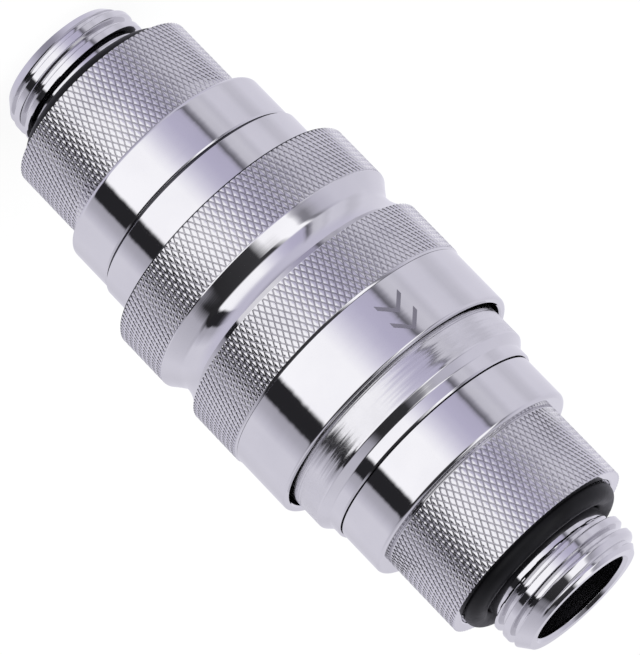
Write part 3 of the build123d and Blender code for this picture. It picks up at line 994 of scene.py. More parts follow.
@dataclass
class EndFitting:
    """Threaded end with a knurled collar, a smooth band and a rubber ring, the same at both ends."""

    shop: Workshop
    seam: float  # height of the face that meets the body
    band_radius: float
    thread_radius: float
    ring_height: float  # middle of the rubber ring
    pitch: float = 1.337
    thread_depth: float = 0.66
    thread_steps: int = 20
    lead: float = 1.2
    lead_radius: float = 5.69
    thread_full: float = 3.3
    neck_low: float = 3.57
    neck_radius: float = 5.95
    port_radius: float = 4.6985
    port_edge: float = 0.28
    collar_low: float = 5.4
    seat_depth: float = 0.8
    seat_radius: float = 8.12
    collar_radius: float = 9.1
    seat_edge: float = 0.15  # rounded rim of the ring's seat
    band_low: float = 13.0
    band_round: float = 0.4
    seam_gap: float = 0.11  # slot whose walls are painted with shade, to show as a fine dark line
    seam_depth: float = 0.5
    counterbore_radius: float = 7.35
    counterbore_floor: float = 7.98
    ring_section: float = 2.0
    ring_mean: float = 6.97
    knurl_count: int = 100
    undercut: float = 0.15
    undercut_round: float = 0.04
    edge: float = 0.06

    def fitting(self, name: str, below_seam: bool) -> Workpiece:
        """Return the fitting, standing on its thread.

        Args:
            name: Name of the piece.
            below_seam: Whether it stands below its seam, as the socket's does.

        Returns:
            The piece.
        """
        top = self.seam - (SUPPORT if below_seam else self.seam_gap)
        piece = Workpiece(name, 2 * self.knurl_count)
        knurl = Knurl(self.knurl_count, self.collar_low, self.band_low - self.undercut, self.collar_radius)
        seat_floor = self.collar_low + self.seat_depth
        face = rounded([
            (self.neck_radius, self.neck_low, 0.0),
            (self.neck_radius, self.neck_low + self.edge, 0.0),
            (self.neck_radius, seat_floor, self.edge),
            (self.seat_radius, seat_floor, self.edge),
            (self.seat_radius, self.collar_low, self.seat_edge),
            (knurl.root, knurl.low, 0.0),
        ])
        band = rounded([
            (knurl.root, knurl.high, 0.0),
            (knurl.root, self.band_low, self.undercut_round),
            (self.band_radius, self.band_low, self.band_round),
            *(seam_edge(self.band_radius, top) if below_seam else [(self.band_radius, top, 0.0)]),
        ])
        # The slot's walls take the painted shade
        slot = [
            band[-1],
            (self.band_radius - self.seam_depth, top),
            (self.band_radius - self.seam_depth, self.seam),
            (self.counterbore_radius, self.seam),
        ]
        inside = rounded([
            (self.counterbore_radius, self.seam, 0.0),
            (self.counterbore_radius, self.counterbore_floor, self.edge),
            (self.port_radius, self.counterbore_floor, self.edge),
            (self.port_radius, 2 * self.port_edge, 0.0),
        ])
        end = rounded([
            (self.port_radius, 2 * self.port_edge, 0.0),
            (self.port_radius, self.port_edge, self.edge),
            (self.port_radius + self.port_edge, 0.0, self.edge),
            (self.lead_radius - self.edge, 0.0, 0.0),
            (self.lead_radius, 0.0, 0.0),
        ])
        piece.turn(face, self.shop.polished)
        piece.turn(band, self.shop.polished)
        piece.turn(slot, self.shop.painted_shade)
        piece.turn(inside, self.shop.bore)
        piece.turn(end, self.shop.polished)
        knurl.cut(self.shop, piece)
        piece.graft(self.shop.thread, {
            "Around": piece.around, "Steps": self.thread_steps, "Pitch": self.pitch,
            "Crest": self.thread_radius, "Depth": self.thread_depth, "Lead Radius": self.lead_radius,
            "Lead": self.lead, "Full": self.thread_full, "Neck": self.neck_radius, "High": self.neck_low,
        }, self.shop.polished)
        return piece

    def dress(self, end: str, middle: float | None = None) -> None:
        """Put the fitting and its ring in place.

        Args:
            end: First part of the node names, socket or plug.
            middle: Height about which the pieces are turned over, for the plug.
        """
        fitting = self.fitting(f"{end}_end_fitting_turned", middle is None)
        ring = rubber_ring(
            self.shop, f"{end}_thread_seal_moulded", self.ring_mean, self.ring_section, self.ring_height)
        if middle is not None:
            fitting.end_for_end(middle)
            ring.end_for_end(middle)
        seat(fitting.take_off(), f"{end}_end_fitting", Slot.CHROMED)
        seat(ring.take_off(), f"{end}_thread_seal", Slot.RUBBER)


@dataclass
class LockingSleeve:
    """Sliding sleeve with two knurled rings, a polished cove between them and a smooth band."""

    shop: Workshop
    low: float
    high: float
    radius: float
    band_step: float = 0.125
    edge: float = 0.35
    tail_edge: float = 0.14
    rear_ring: float = 5.2
    cove_radius: float = 11.25
    cove_rear: float = 1.45  # from its rear edge to its deepest line
    cove_front: float = 2.45
    cove_bend: float = 3.4  # by which the rear slope bends from its middle to either end
    cove_round: float = 1.0
    cove_blend: int = 3  # corners on either side that give way to the rounding
    front_ring: float = 5.25
    lip_radius: float = 11.55
    lip_low: float = 33.75
    lip_edge: float = 0.14
    spring_bore: float = 9.62
    rib_radius: float = 8.5
    rib_ramp: float = 0.5
    rib_top: float = 28.47
    skirt_radius: float = 10.55
    skirt_length: float = 2.65
    knurl_count: int = 134
    gap: float = 0.24  # sloping rim and fine groove between the front ring and the band, the groove painted with shade
    groove: float = 0.05
    rim: float = 0.11  # plain rim between the rear ring and the cove
    rim_rise: float = 0.01  # length over which a rim rises from the knurl's root
    brim_drop: float = 0.03  # depth of the rims under the knurl's tops
    fine_edge: float = 0.06
    crisp_edge: float = 0.03
    mark_turn: float = -26.2  # from the front, counted towards +X
    mark_tip: float = 40.7
    mark_reach: float = 1.3  # from its middle to the end of an arm
    mark_drop: float = 1.25
    mark_stroke: float = 0.48
    mark_spacing: float = 1.9
    mark_height: float = 0.012
    mark_steps: int = 10  # along an arm

    def __post_init__(self) -> None:
        """Work out the heights of the rings."""
        self.cove_low = self.low + self.rear_ring
        self.cove_top = self.cove_low + self.cove_rear + self.cove_front
        self.band_low = self.cove_top + self.front_ring
        self.band_radius = self.radius - self.band_step
        self.rib_low = self.low + self.skirt_length

    def slope(self, edge_radius: float) -> list[Corner]:
        """Return the cove's rear slope, a slightly hollow cone, from its edge to its deepest line.

        Args:
            edge_radius: Radius at the edge.

        Returns:
            Corners along the slope.
        """
        start = Vector((edge_radius, self.cove_low))
        end = Vector((self.cove_radius, self.cove_low + self.cove_rear))
        bend = math.radians(self.cove_bend)
        radius = (end - start).length / (2 * math.sin(bend))
        tilt = math.atan2(start.x - end.x, end.y - start.y)
        centre = (start + end) / 2 + radius * math.cos(bend) * Vector((math.cos(tilt), math.sin(tilt)))
        middle = 180 + math.degrees(tilt)
        return arc(tuple(centre), radius, middle + self.cove_bend, middle - self.cove_bend, FINE_STEP)

    def hollow(self, edge_radius: float, reach: float) -> list[Corner]:
        """Return the cove's front half, an arc that is level at the deepest line, from there to its edge.

        Args:
            edge_radius: Radius at the edge.
            reach: Height of the edge above the deepest line.

        Returns:
            Corners along the arc.
        """
        depth = edge_radius - self.cove_radius
        radius = (reach ** 2 + depth ** 2) / (2 * depth)
        centre = (self.cove_radius + radius, self.cove_low + self.cove_rear)
        return arc(centre, radius, 180, 180 - math.degrees(math.asin(reach / radius)), MIDDLE_STEP)

    def sleeve(self) -> Workpiece:
        """Turn the sleeve.

        Returns:
            The piece.
        """
        piece = Workpiece("locking_sleeve_turned", 2 * self.knurl_count)
        rear = Knurl(self.knurl_count, self.low + self.tail_edge, self.cove_low - self.rim, self.radius)
        front = Knurl(self.knurl_count, self.cove_top, self.band_low - self.gap, self.radius)
        brim = self.radius - self.brim_drop
        foot = self.band_low - self.groove
        cove = rounded([
            (rear.root, rear.high, 0.0),
            (brim, rear.high + self.rim_rise, 0.0),
            *self.slope(brim)[:-self.cove_blend],
            (self.cove_radius, self.cove_low + self.cove_rear, self.cove_round),
            *self.hollow(front.root, self.cove_front - self.fine_edge)[self.cove_blend:],
            (front.root, front.low, 0.0),
        ])
        rim = [(front.root, front.high), (brim, front.high + self.rim_rise), (front.root, foot)]
        # The fine groove takes the painted shade, as a dark line
        fine_groove = [(front.root, foot), (front.root, self.band_low)]
        shell = rounded([
            (front.root, self.band_low, 0.0),
            (self.band_radius, self.band_low, self.crisp_edge),
            (self.band_radius, self.high, self.edge),
            (self.lip_radius + self.lip_edge, self.high, self.crisp_edge),
            (self.lip_radius, self.high - self.lip_edge, 0.0),
        ])
        inside = rounded([
            (self.lip_radius, self.high - self.lip_edge, 0.0),
            (self.lip_radius, self.lip_low, self.fine_edge),
            (self.spring_bore, self.lip_low, self.fine_edge),
            (self.spring_bore, self.rib_top, self.fine_edge),
            (self.rib_radius, self.rib_top, self.fine_edge),
            (self.rib_radius, self.rib_low + self.rib_ramp, self.fine_edge),
            (self.rib_radius + self.rib_ramp, self.rib_low, self.fine_edge),
            (self.skirt_radius, self.rib_low, self.fine_edge),
            (self.skirt_radius, self.low, self.fine_edge),
            (self.radius - self.tail_edge, self.low, 0.0),
        ])
        # The rear chamfer takes the painted shade, as a dark line at the sleeve's rear edge
        tail = [(self.radius - self.tail_edge, self.low), (rear.root, rear.low)]
        piece.turn(cove, self.shop.polished)
        piece.turn(rim, self.shop.polished)
        piece.turn(fine_groove, self.shop.painted_shade)
        piece.turn(shell, self.shop.polished)
        piece.turn(inside, self.shop.bore)
        piece.turn(tail, self.shop.painted_shade)
        rear.cut(self.shop, piece)
        front.cut(self.shop, piece)
        return piece

    def mark(self) -> Workpiece:
        """Build the plain double chevron on the band that shows which way the sleeve slides.

        Returns:
            The piece.
        """
        piece = Workpiece("slide_mark")
        piece.finish_number(self.shop.etched)
        points, faces = piece.mesh.verts, piece.mesh.faces
        layers = (self.band_radius - self.mark_height, self.band_radius + self.mark_height)
        for tip in (self.mark_tip, self.mark_tip - self.mark_spacing):
            rows = []
            for step in range(-self.mark_steps, self.mark_steps + 1):
                across = self.mark_reach * step / self.mark_steps
                along = tip - self.mark_drop * abs(step) / self.mark_steps
                turn = math.radians(self.mark_turn) + across / self.band_radius
                rows.append([
                    points.new((radius * math.sin(turn) * MM, -radius * math.cos(turn) * MM, height * MM))
                    for height in (along, along - self.mark_stroke) for radius in layers])
            for low, high in zip(rows, rows[1:]):
                for one, two in ((0, 1), (1, 3), (3, 2), (2, 0)):
                    faces.new((low[one], low[two], high[two], high[one]))
            for row in (rows[0], rows[-1]):
                faces.new((row[0], row[1], row[3], row[2]))
        return piece

    def dress(self) -> None:
        """Put the sleeve and its mark in place."""
        seat(self.sleeve().take_off(), "locking_sleeve", Slot.CHROMED)
        mark = self.mark().take_off()
        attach(mark, "sleeve")


@dataclass
class BallLock:
    """Ring of balls in the socket's barrel, and the groove in the plug that they hold."""

    count: int = 6
    radius: float = 1.25
    circle: float = 7.2
    height: float = 25.6
    play: float = 0.05

    def groove(self, nose_radius: float) -> list[Corner]:
        """Outline the groove, upwards along the plug's nose.

        Args:
            nose_radius: Radius of the nose.

        Returns:
            Corners along the groove.
        """
        reach = self.radius + self.play
        opening = math.degrees(math.acos((nose_radius - self.circle) / reach))
        return arc((self.circle, self.height), reach, 360 - opening, opening)

    def dress(self, shop: Workshop) -> None:
        """Put the balls in place.

        Args:
            shop: Shared recipes and materials.
        """
        piece = Workpiece("locking_balls_ground")
        piece.graft(shop.balls, {
            "Count": self.count, "Circle": self.circle, "Height": self.height, "Radius": self.radius,
        }, shop.ball_steel)
        seat(piece.take_off(), "locking_balls", Slot.BALL)


@dataclass
class ValveSeat:
    """Bore of a valve, with depths counted from the plane where the two poppets meet."""

    meeting: float = 20.252
    seat_radius: float = 3.6
    bore_radius: float = 5.2
    pocket_radius: float = 5.75
    clip_radius: float = 6.15
    face: float = 0.1
    cone_start: float = 1.0
    cone_end: float = 2.6
    disc_front: float = 9.562
    clip_start: float = 10.762
    clip_end: float = 11.502
    edge: float = 0.04

    def bore(self, side: int) -> list[Corner]:
        """Return the outline from the seat's face to the clip's groove.

        Args:
            side: 1 upwards into the plug, -1 downwards into the socket.

        Returns:
            Corners along the bore.
        """
        steps = [
            (self.seat_radius, self.face), (self.seat_radius, self.cone_start),
            (self.bore_radius, self.cone_end), (self.bore_radius, self.disc_front),
            (self.pocket_radius, self.disc_front), (self.pocket_radius, self.clip_start),
            (self.clip_radius, self.clip_start), (self.clip_radius, self.clip_end),
            (self.pocket_radius, self.clip_end),
        ]
        return [(radius, self.meeting + side * depth, self.edge) for radius, depth in steps]


@dataclass
class SocketBody:
    """Socket with its guide ring, its barrel with the ball holes, and the bore that takes the plug."""

    shop: Workshop
    lock: BallLock
    valve: ValveSeat
    spigot_low: float
    barrel_top: float
    guide_radius: float
    seam: float
    spigot_radius: float = 7.3
    joint_groove: Cut = (6.52, 14.31, 15.15)
    guide_top: float = 24.0
    barrel_radius: float = 8.45
    snap_groove: Cut = (8.1, 35.56, 36.3)
    bore_radius: float = 6.85
    mouth: float = 0.5
    seal_groove: Cut = (7.75, 21.752, 22.692)
    slot_depth: float = 0.35  # of the groove over the seam, whose faces are painted with shade as a dark line
    slot_height: float = 0.27
    edge: float = 0.05

    def body(self) -> Workpiece:
        """Turn the body and drill its ball holes.

        Returns:
            The piece.
        """
        edge = self.edge
        slot_radius, slot_top = self.guide_radius - self.slot_depth, self.seam + self.slot_height
        outline = rounded([
            (self.valve.pocket_radius, self.spigot_low, edge),
            (self.spigot_radius, self.spigot_low, edge),
            *groove(self.spigot_radius, self.joint_groove, edge),
            (self.spigot_radius, self.seam, edge),
            (slot_radius, self.seam, 0.0),
            (slot_radius, slot_top, 0.0),
            (self.guide_radius, slot_top, SUPPORT),
            (self.guide_radius, self.guide_top, edge),
            (self.barrel_radius, self.guide_top, edge),
            *groove(self.barrel_radius, self.snap_groove, edge),
            (self.barrel_radius, self.barrel_top, edge),
            (self.bore_radius + self.mouth, self.barrel_top, edge),
            (self.bore_radius, self.barrel_top - self.mouth, edge),
            *reversed(groove(self.bore_radius, self.seal_groove, edge)),
            (self.bore_radius, self.valve.meeting - self.valve.face, edge),
            *self.valve.bore(-1),
        ], loop=True)
        piece = Workpiece("socket_body_turned", BODY_STEPS)
        piece.turn(outline, self.shop.polished, loop=True)
        piece.graft(self.shop.holes, {
            "Count": self.lock.count, "Circle": (self.bore_radius + self.barrel_radius) / 2,
            "Height": self.lock.height, "Radius": self.lock.radius + self.lock.play,
            "Length": 2 * (self.barrel_radius - self.bore_radius)}, self.shop.polished, piece.blank())
        # The groove's faces take the painted shade
        piece.refinish(self.shop.painted_shade, (self.spigot_radius, self.guide_radius - SUPPORT),
                       (self.seam - SUPPORT, slot_top + SUPPORT))
        return piece

    def dress(self) -> None:
        """Put the body in place."""
        seat(self.body().take_off(), "socket_body", Slot.CHROMED)


@dataclass
class PlugBody:
    """Plug with its nose and ball groove, a satin flange and a polished ring beside the end fitting."""

    shop: Workshop
    lock: BallLock
    valve: ValveSeat
    spigot_top: float
    flange_radius: float
    seam: float
    nose_radius: float = 6.8
    nose_chamfer: float = 0.6
    flange_low: float = 37.1
    flange_top: float = 44.3
    flange_edge: float = 0.3
    flange_round: float = 0.25
    satin_margin: float = 0.15  # from the end of the satin face to the flange's upper edge
    ring_low: float = 45.0
    ring_round: float = 0.2
    ring_radius: float = 10.5
    spigot_radius: float = 7.3
    joint_groove: Cut = (6.52, 48.45, 49.29)
    edge: float = 0.05

    def body(self) -> Workpiece:
        """Turn the body.

        Returns:
            The piece.
        """
        edge = self.edge
        nose_tip = self.valve.meeting + self.valve.face
        seat_middle = (self.valve.seat_radius, nose_tip + self.valve.cone_start / 2, 0.0)
        satin_start = (self.flange_radius, self.flange_low + 2 * self.flange_edge, 0.0)
        satin_end = (self.flange_radius, self.flange_top - self.satin_margin, 0.0)
        piece = Workpiece("plug_body_turned", BODY_STEPS)
        nose = rounded([
            seat_middle,
            (self.valve.seat_radius, nose_tip, edge),
            (self.nose_radius - self.nose_chamfer, nose_tip, edge),
            (self.nose_radius, nose_tip + self.nose_chamfer, edge),
            *self.lock.groove(self.nose_radius),
            (self.nose_radius, self.flange_low, edge),
            (self.flange_radius - self.flange_edge, self.flange_low, edge),
            (self.flange_radius, self.flange_low + self.flange_edge, edge),
            satin_start,
        ])
        ring = rounded([
            satin_end,
            (self.flange_radius, self.flange_top, self.flange_round),
            (self.ring_radius, self.ring_low, self.ring_round),
            *seam_edge(self.ring_radius, self.seam),
            (self.spigot_radius, self.seam, edge),
            *groove(self.spigot_radius, self.joint_groove, edge),
            (self.spigot_radius, self.spigot_top, edge),
            (self.valve.pocket_radius, self.spigot_top, edge),
            *reversed(self.valve.bore(1)[1:]),
            seat_middle,
        ])
        piece.turn(nose, self.shop.polished)
        piece.turn(rounded([satin_start, satin_end]), self.shop.satin)
        piece.turn(ring, self.shop.polished)
        return piece

    def dress(self) -> None:
        """Put the body in place."""
        seat(self.body().take_off(), "plug_body", Slot.SATIN)


@dataclass
class Valve:
    """Poppet with its seal and its spring, drawn for the socket and turned over for the plug."""

    shop: Workshop
    meeting: float
    stem_radius: float = 1.25
    stem_edge: float = 0.2
    head_gap: float = 0.01
    poppet_radius: float = 4.5
    root_radius: float = 3.6
    lip: float = 0.42
    seal_front: float = 3.492
    seal_back: float = 4.392
    seal_play: float = 0.02
    seal_edge: float = 0.1
    poppet_back: float = 5.162
    stem_end: float = 12.962
    disc_front: float = 9.562
    coil: Coil = Coil(mean=2.2, wire=0.6)
    edge: float = 0.05

    def poppet(self, name: str) -> Workpiece:
        """Turn the poppet with its stem.

        Args:
            name: Name of the piece.

        Returns:
            The piece.
        """
        top = self.meeting
        lip_back = top - self.seal_front + self.seal_play
        lip_radius = self.root_radius + self.lip / 2
        seat_back = top - self.seal_back - self.seal_play
        piece = Workpiece(name, VALVE_STEPS)
        piece.turn(rounded([
            (0.0, top - self.head_gap, 0.0),
            (self.stem_radius, top - self.head_gap, self.stem_edge),
            (self.stem_radius, lip_back + self.lip, self.edge),
            (lip_radius - self.lip, lip_back + self.lip, self.edge),
            (lip_radius, lip_back, self.edge),
            (self.root_radius, lip_back, 0.0),
            (self.root_radius, seat_back, self.edge),
            (self.poppet_radius, seat_back, self.edge),
            (self.poppet_radius, top - self.poppet_back, self.edge),
            (self.stem_radius, top - self.poppet_back, self.edge),
            (self.stem_radius, top - self.stem_end, self.stem_edge),
            (0.0, top - self.stem_end, 0.0),
        ]), self.shop.brass)
        return piece

    def seal(self, name: str) -> Workpiece:
        """Mould the rubber seal on the poppet.

        Args:
            name: Name of the piece.

        Returns:
            The piece.
        """
        front, back = self.meeting - self.seal_front, self.meeting - self.seal_back
        bevel = (self.seal_back - self.seal_front) / 2
        inner = self.root_radius + self.seal_play
        piece = Workpiece(name, VALVE_STEPS)
        piece.turn(rounded([
            (inner, front, self.edge),
            (self.poppet_radius - bevel, front, self.seal_edge),
            (self.poppet_radius, front - bevel, self.seal_edge),
            (self.poppet_radius, back, self.edge),
            (inner, back, self.edge),
        ], loop=True), self.shop.rubber, loop=True)
        return piece

    def dress(self, half: str, side: int) -> None:
        """Put the valve of one half in place.

        Args:
            half: First part of the node names, socket or plug.
            side: 1 for the plug, over the meeting plane, and -1 for the socket.
        """
        poppet = self.poppet(f"{half}_poppet_turned")
        seal = self.seal(f"{half}_poppet_seal_moulded")
        spring = self.coil.wind(self.shop, f"{half}_valve_spring_wound", self.meeting - self.disc_front,
                                self.meeting - self.poppet_back)
        if side > 0:
            for piece in (poppet, seal, spring):
                piece.end_for_end(self.meeting)
        seat(poppet.take_off(), f"{half}_poppet", Slot.BRASS)
        seat(seal.take_off(), f"{half}_poppet_seal", Slot.RUBBER)
        stretch(spring.take_off(), f"{half}_valve_spring", (half, f"{half}_valve"),
                self.meeting + side * self.disc_front, self.meeting + side * self.poppet_back)


@dataclass
class SleeveSpring:
    """Spring that holds the sleeve back, between the sleeve's rib and the washer on the barrel."""

    shop: Workshop
    low: float
    high: float
    coil: Coil = Coil(mean=9.035, wire=0.7)

    def dress(self) -> None:
        """Put the spring in place."""
        piece = self.coil.wind(self.shop, "sleeve_spring_wound", self.low, self.high)
        stretch(piece.take_off(), "sleeve_spring", ("socket", "sleeve"), self.high, self.low)


@dataclass
class NoseSeal:
    """Rubber ring in the socket's bore, round the nose of the plug."""

    shop: Workshop
    mean: float = 7.28
    section: float = 0.9
    height: float = 22.222

    def dress(self) -> None:
        """Put the ring in place."""
        piece = rubber_ring(self.shop, "nose_seal_moulded", self.mean, self.section, self.height)
        seat(piece.take_off(), "nose_seal", Slot.RUBBER)


@dataclass
class PlainNodes:
    """Small inner pieces whose solids already have the right shape."""

    shop: Workshop
    steel: tuple[str, ...] = ("spring_washer", "sleeve_snap_ring", "socket_guide_clip", "plug_guide_clip")
    brass: tuple[str, ...] = ("socket_valve_guide", "plug_valve_guide")
    rubber: tuple[str, ...] = ("socket_joint_seal", "plug_joint_seal")

    def dress(self) -> None:
        """Give each node its finish."""
        for names, finish in ((self.steel, self.shop.spring_steel), (self.brass, self.shop.brass),
                              (self.rubber, self.shop.rubber)):
            for name in names:
                for slot in frame["nodes"][name].material_slots:
                    slot.material = finish
                log.info("%s: finished as packed", name)


@dataclass
class Studio:
    """Pale floor, soft light, the surroundings that the plating mirrors, and the camera, in metres."""

    target: Place = (0.0, 0.0, 0.03221)
    tilt: float = 14.86  # of the camera above the level
    roll: float = -46.04
    distance: float = 0.4238
    lens: float = 284.8  # millimetres, as the sensor
    sensor: float = 36.0
    clip_start: float = 0.01
    floor_size: float = 6.0
    floor_glow: float = 0.9
    floor_colour: tuple[float, float, float] = (0.12, 0.12, 0.12)
    lamp_size: float = 0.5
    lamp_energy: float = 1.6
    lamp_place: Place = (-0.12, -0.25, 0.5)
    lamp_back: Place = (-0.12, -0.25, 0.47)  # direction from the part to the lamp
    ambient: float = 0.75
    white: tuple[float, float, float, float] = (1.0, 1.0, 1.0, 1.0)
    cool: tuple[float, float, float] = (0.94, 0.894, 1.167)
    # Surroundings by direction, from the front towards +X: brightness, and how cool the light is
    level: tuple[Stop, ...] = (
        (-180, 0.84, 0.4), (-124, 0.83, 0.45), (-112, 0.72, 0.45), (-104, 0.70, 0.45), (-95, 0.80, 0.45),
        (-80, 0.82, 0.45), (-73, 0.70, 0.45), (-66, 0.76, 0.4), (-58, 0.70, 0.4), (-54, 0.34, 0.6),
        (-50.5, 0.16, 0.6), (-48, 0.46, 0.9), (-45, 0.60, 1.0), (-32, 0.64, 1.0), (-22, 0.74, 0.8),
        (-12, 0.93, 0.5), (-4, 1.12, 0.25), (4, 1.25, 0.1), (48.5, 1.27, 0.1), (51.5, 0.025, 0.5),
        (69, 0.025, 0.5), (72, 0.48, 0.5), (80, 0.55, 0.5), (88, 0.70, 0.5), (96, 0.84, 0.4),
        (130, 0.83, 0.4), (150, 0.74, 0.4), (180, 0.74, 0.4))
    above: tuple[Stop, ...] = (
        (-180, 0.80, 0.4), (-100, 0.78, 0.5), (-84, 0.62, 0.6), (-76, 0.46, 0.5), (-70, 0.28, 0.5),
        (-64, 0.30, 0.5), (-60, 0.70, 0.3), (-56, 1.28, 0.1), (-36, 1.28, 0.1), (-20, 0.06, 0.3),
        (70, 0.025, 0.3), (84, 0.55, 0.5), (130, 0.82, 0.4), (180, 0.80, 0.4))
    high: tuple[Stop, ...] = (
        (-180, 0.74, 0.4), (-84, 0.62, 0.6), (-68, 0.58, 0.5), (-62, 0.75, 0.3), (-56, 1.26, 0.1),
        (-20, 1.24, 0.1), (-4, 0.05, 0.3), (52, 0.03, 0.3), (68, 0.45, 0.5), (90, 0.62, 0.5),
        (180, 0.74, 0.4))
    top: tuple[Stop, ...] = (
        (-180, 0.60, 0.4), (-90, 0.45, 0.4), (-62, 0.25, 0.4), (-30, 0.20, 0.4), (-14, 0.04, 0.3),
        (84, 0.03, 0.3), (104, 0.45, 0.5), (180, 0.60, 0.4))
    below: Stop = (0.0, 0.72, 0.7)
    nadir: Stop = (0.0, 0.36, 0.8)
    # Rise at which above, high, top, below and nadir each start to take over, and have taken over
    rises: tuple[tuple[float, float], ...] = (
        (6.0, 24.0), (46.0, 58.0), (64.0, 72.0), (-30.0, -56.0), (-66.0, -88.0))

    def shade(self, stop: Stop) -> tuple[float, float, float, float]:
        """Return the colour of a part of the surroundings."""
        _, brightness, share = stop
        return (*(brightness * (1 - share + share * part) for part in self.cool), 1.0)

    def camera(self) -> None:
        """Set the camera at the photograph's angle."""
        tilt, roll = math.radians(self.tilt), math.radians(self.roll)
        back = Vector((0.0, -math.cos(tilt), math.sin(tilt)))
        axis = Vector((0.0, math.sin(tilt), math.cos(tilt)))
        side = Vector((1.0, 0.0, 0.0))
        right = math.cos(roll) * axis + math.sin(roll) * side
        up = math.sin(roll) * axis - math.cos(roll) * side
        turned = Matrix((right, up, back)).transposed().to_4x4()
        data = bpy.data.cameras.new("Camera")
        data.lens = self.lens
        data.sensor_width = self.sensor
        data.clip_start = self.clip_start
        camera = show("Camera", data)
        camera.matrix_world = Matrix.Translation(Vector(self.target) + back * self.distance) @ turned
        bpy.context.scene.camera = camera

    def strip(self, sheet: NodeSheet, bearing: Socket, stops: tuple[Stop, ...]) -> Socket:
        """Draw the surroundings at one height.

        Args:
            sheet: World's nodes.
            bearing: Direction, from 0 at -180 degrees to 1 at 180 degrees.
            stops: Direction, brightness and coolness of each stop.

        Returns:
            The socket with the colour.
        """
        node = sheet.add("ShaderNodeValToRGB", {"Fac": bearing})
        elements = node.color_ramp.elements
        elements.remove(elements[1])
        for number, stop in enumerate(stops):
            place = stop[0] / 360 + 0.5
            element = elements[0] if number == 0 else elements.new(place)
            element.position = place
            element.color = self.shade(stop)
        return node.outputs["Color"]

    def world(self) -> None:
        """Surround the part: white to the camera, soft light for matt surfaces, a studio for mirrors."""
        world = bpy.data.worlds.new("Studio")
        world.use_nodes = True
        bpy.context.scene.world = world
        sheet = NodeSheet(world.node_tree)
        way = sheet.split(sheet.add("ShaderNodeTexCoord").outputs["Generated"])
        angle = sheet.calc("ARCTAN2", way["X"], sheet.calc("MULTIPLY", way["Y"], -1.0))
        bearing = sheet.calc("MULTIPLY_ADD", angle, 1 / math.tau, 0.5)
        rise = sheet.calc("ARCSINE", way["Z"])
        seen, *layers = (
            self.strip(sheet, bearing, stops) for stops in (self.level, self.above, self.high, self.top))
        layers += [self.shade(self.below), self.shade(self.nadir)]
        for layer, (start, end) in zip(layers, self.rises):
            factor = sheet.ramp(rise, math.radians(start), math.radians(end))
            seen = sheet.mix("ShaderNodeMix", "RGBA", (seen, layer), {"Factor": factor}, data_type="RGBA")
        mirrored, soft, plain = (
            sheet.add("ShaderNodeBackground", {"Color": colour, "Strength": strength}).outputs[0]
            for colour, strength in ((seen, 1.0), (self.white, self.ambient), (self.white, 1.0)))
        path = sheet.add("ShaderNodeLightPath").outputs
        lit = sheet.mix("ShaderNodeMixShader", "SHADER", (soft, mirrored), {"Fac": path["Is Glossy Ray"]})
        shown = sheet.mix("ShaderNodeMixShader", "SHADER", (lit, plain), {"Fac": path["Is Camera Ray"]})
        sheet.add("ShaderNodeOutputWorld", {"Surface": shown})

    def floor(self) -> None:
        """Lay the floor, which glows white to the camera and keeps a faint shadow."""
        half = self.floor_size / 2
        mesh = bpy.data.meshes.new("Floor")
        corners = [(-half, -half, 0), (half, -half, 0), (half, half, 0), (-half, half, 0)]
        mesh.from_pydata(corners, [], [(0, 1, 2, 3)])
        material = bpy.data.materials.new("Floor")
        material.use_nodes = True
        sheet = NodeSheet(material.node_tree)
        matt = sheet.add("ShaderNodeBsdfDiffuse", {"Color": (*self.floor_colour, 1.0)}).outputs[0]
        glow = sheet.add("ShaderNodeEmission", {"Color": self.white, "Strength": self.floor_glow}).outputs[0]
        both = sheet.mix("ShaderNodeAddShader", "SHADER", (matt, glow))
        sheet.add("ShaderNodeOutputMaterial", {"Surface": both})
        mesh.materials.append(material)
        floor = show("Floor", mesh)
        floor.visible_glossy = False

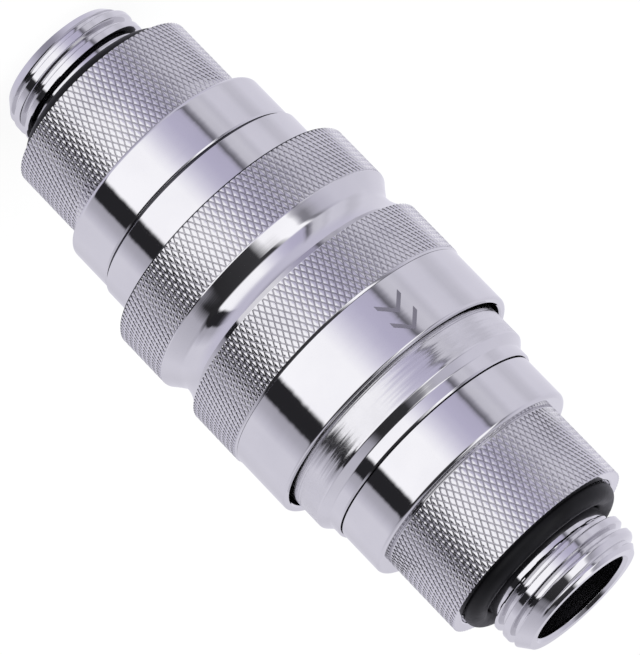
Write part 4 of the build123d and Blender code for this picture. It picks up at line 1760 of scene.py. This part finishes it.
    def lamp(self) -> None:
        """Hang a wide soft lamp over the part, for the rubber and the floor's shadow."""
        data = bpy.data.lights.new("Soft box", "AREA")
        data.size = self.lamp_size
        data.energy = self.lamp_energy
        lamp = show("Soft box", data)
        lamp.visible_glossy = False
        turned = Vector(self.lamp_back).to_track_quat("Z", "Y").to_matrix().to_4x4()
        lamp.matrix_world = Matrix.Translation(self.lamp_place) @ turned

    def set_up(self) -> None:
        """Set up the whole studio."""
        bpy.context.scene.view_settings.view_transform = "Standard"
        self.camera()
        self.world()
        self.floor()
        self.lamp()


def main() -> None:
    """Dress the coupling piece by piece and set up the studio."""
    logging.basicConfig(level=logging.INFO, format="%(name)s: %(message)s")
    shop = Workshop()
    lock = BallLock()
    valve_seat = ValveSeat()
    lows = {name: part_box(name)[0] / MM for name in frame["nodes"]}
    highs = {name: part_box(name)[1] / MM for name in frame["nodes"]}
    thread_mount = next(mount for mount in frame["record"]["mounts"] if mount["name"] == "socket_thread")
    fitting = EndFitting(
        shop, seam=highs["socket_end_fitting"].z, band_radius=highs["socket_end_fitting"].x,
        thread_radius=thread_mount["dims"]["r_mm"],
        ring_height=(lows["socket_thread_seal"].z + highs["socket_thread_seal"].z) / 2)
    fitting.dress("socket")
    fitting.dress("plug", (lows["socket_end_fitting"].z + highs["plug_end_fitting"].z) / 2)
    LockingSleeve(
        shop, low=lows["locking_sleeve"].z, high=highs["locking_sleeve"].z,
        radius=highs["locking_sleeve"].x).dress()
    lock.dress(shop)
    SocketBody(
        shop, lock, valve_seat, spigot_low=lows["socket_body"].z, barrel_top=highs["socket_body"].z,
        guide_radius=highs["socket_body"].x, seam=highs["socket_end_fitting"].z).dress()
    PlugBody(
        shop, lock, valve_seat, spigot_top=highs["plug_body"].z, flange_radius=highs["plug_body"].x,
        seam=lows["plug_end_fitting"].z).dress()
    valve = Valve(shop, valve_seat.meeting)
    valve.dress("socket", -1)
    valve.dress("plug", 1)
    SleeveSpring(shop, low=lows["sleeve_spring"].z, high=highs["sleeve_spring"].z).dress()
    NoseSeal(shop).dress()
    PlainNodes(shop).dress()
    Studio().set_up()


if __name__ == "__main__":
    main()
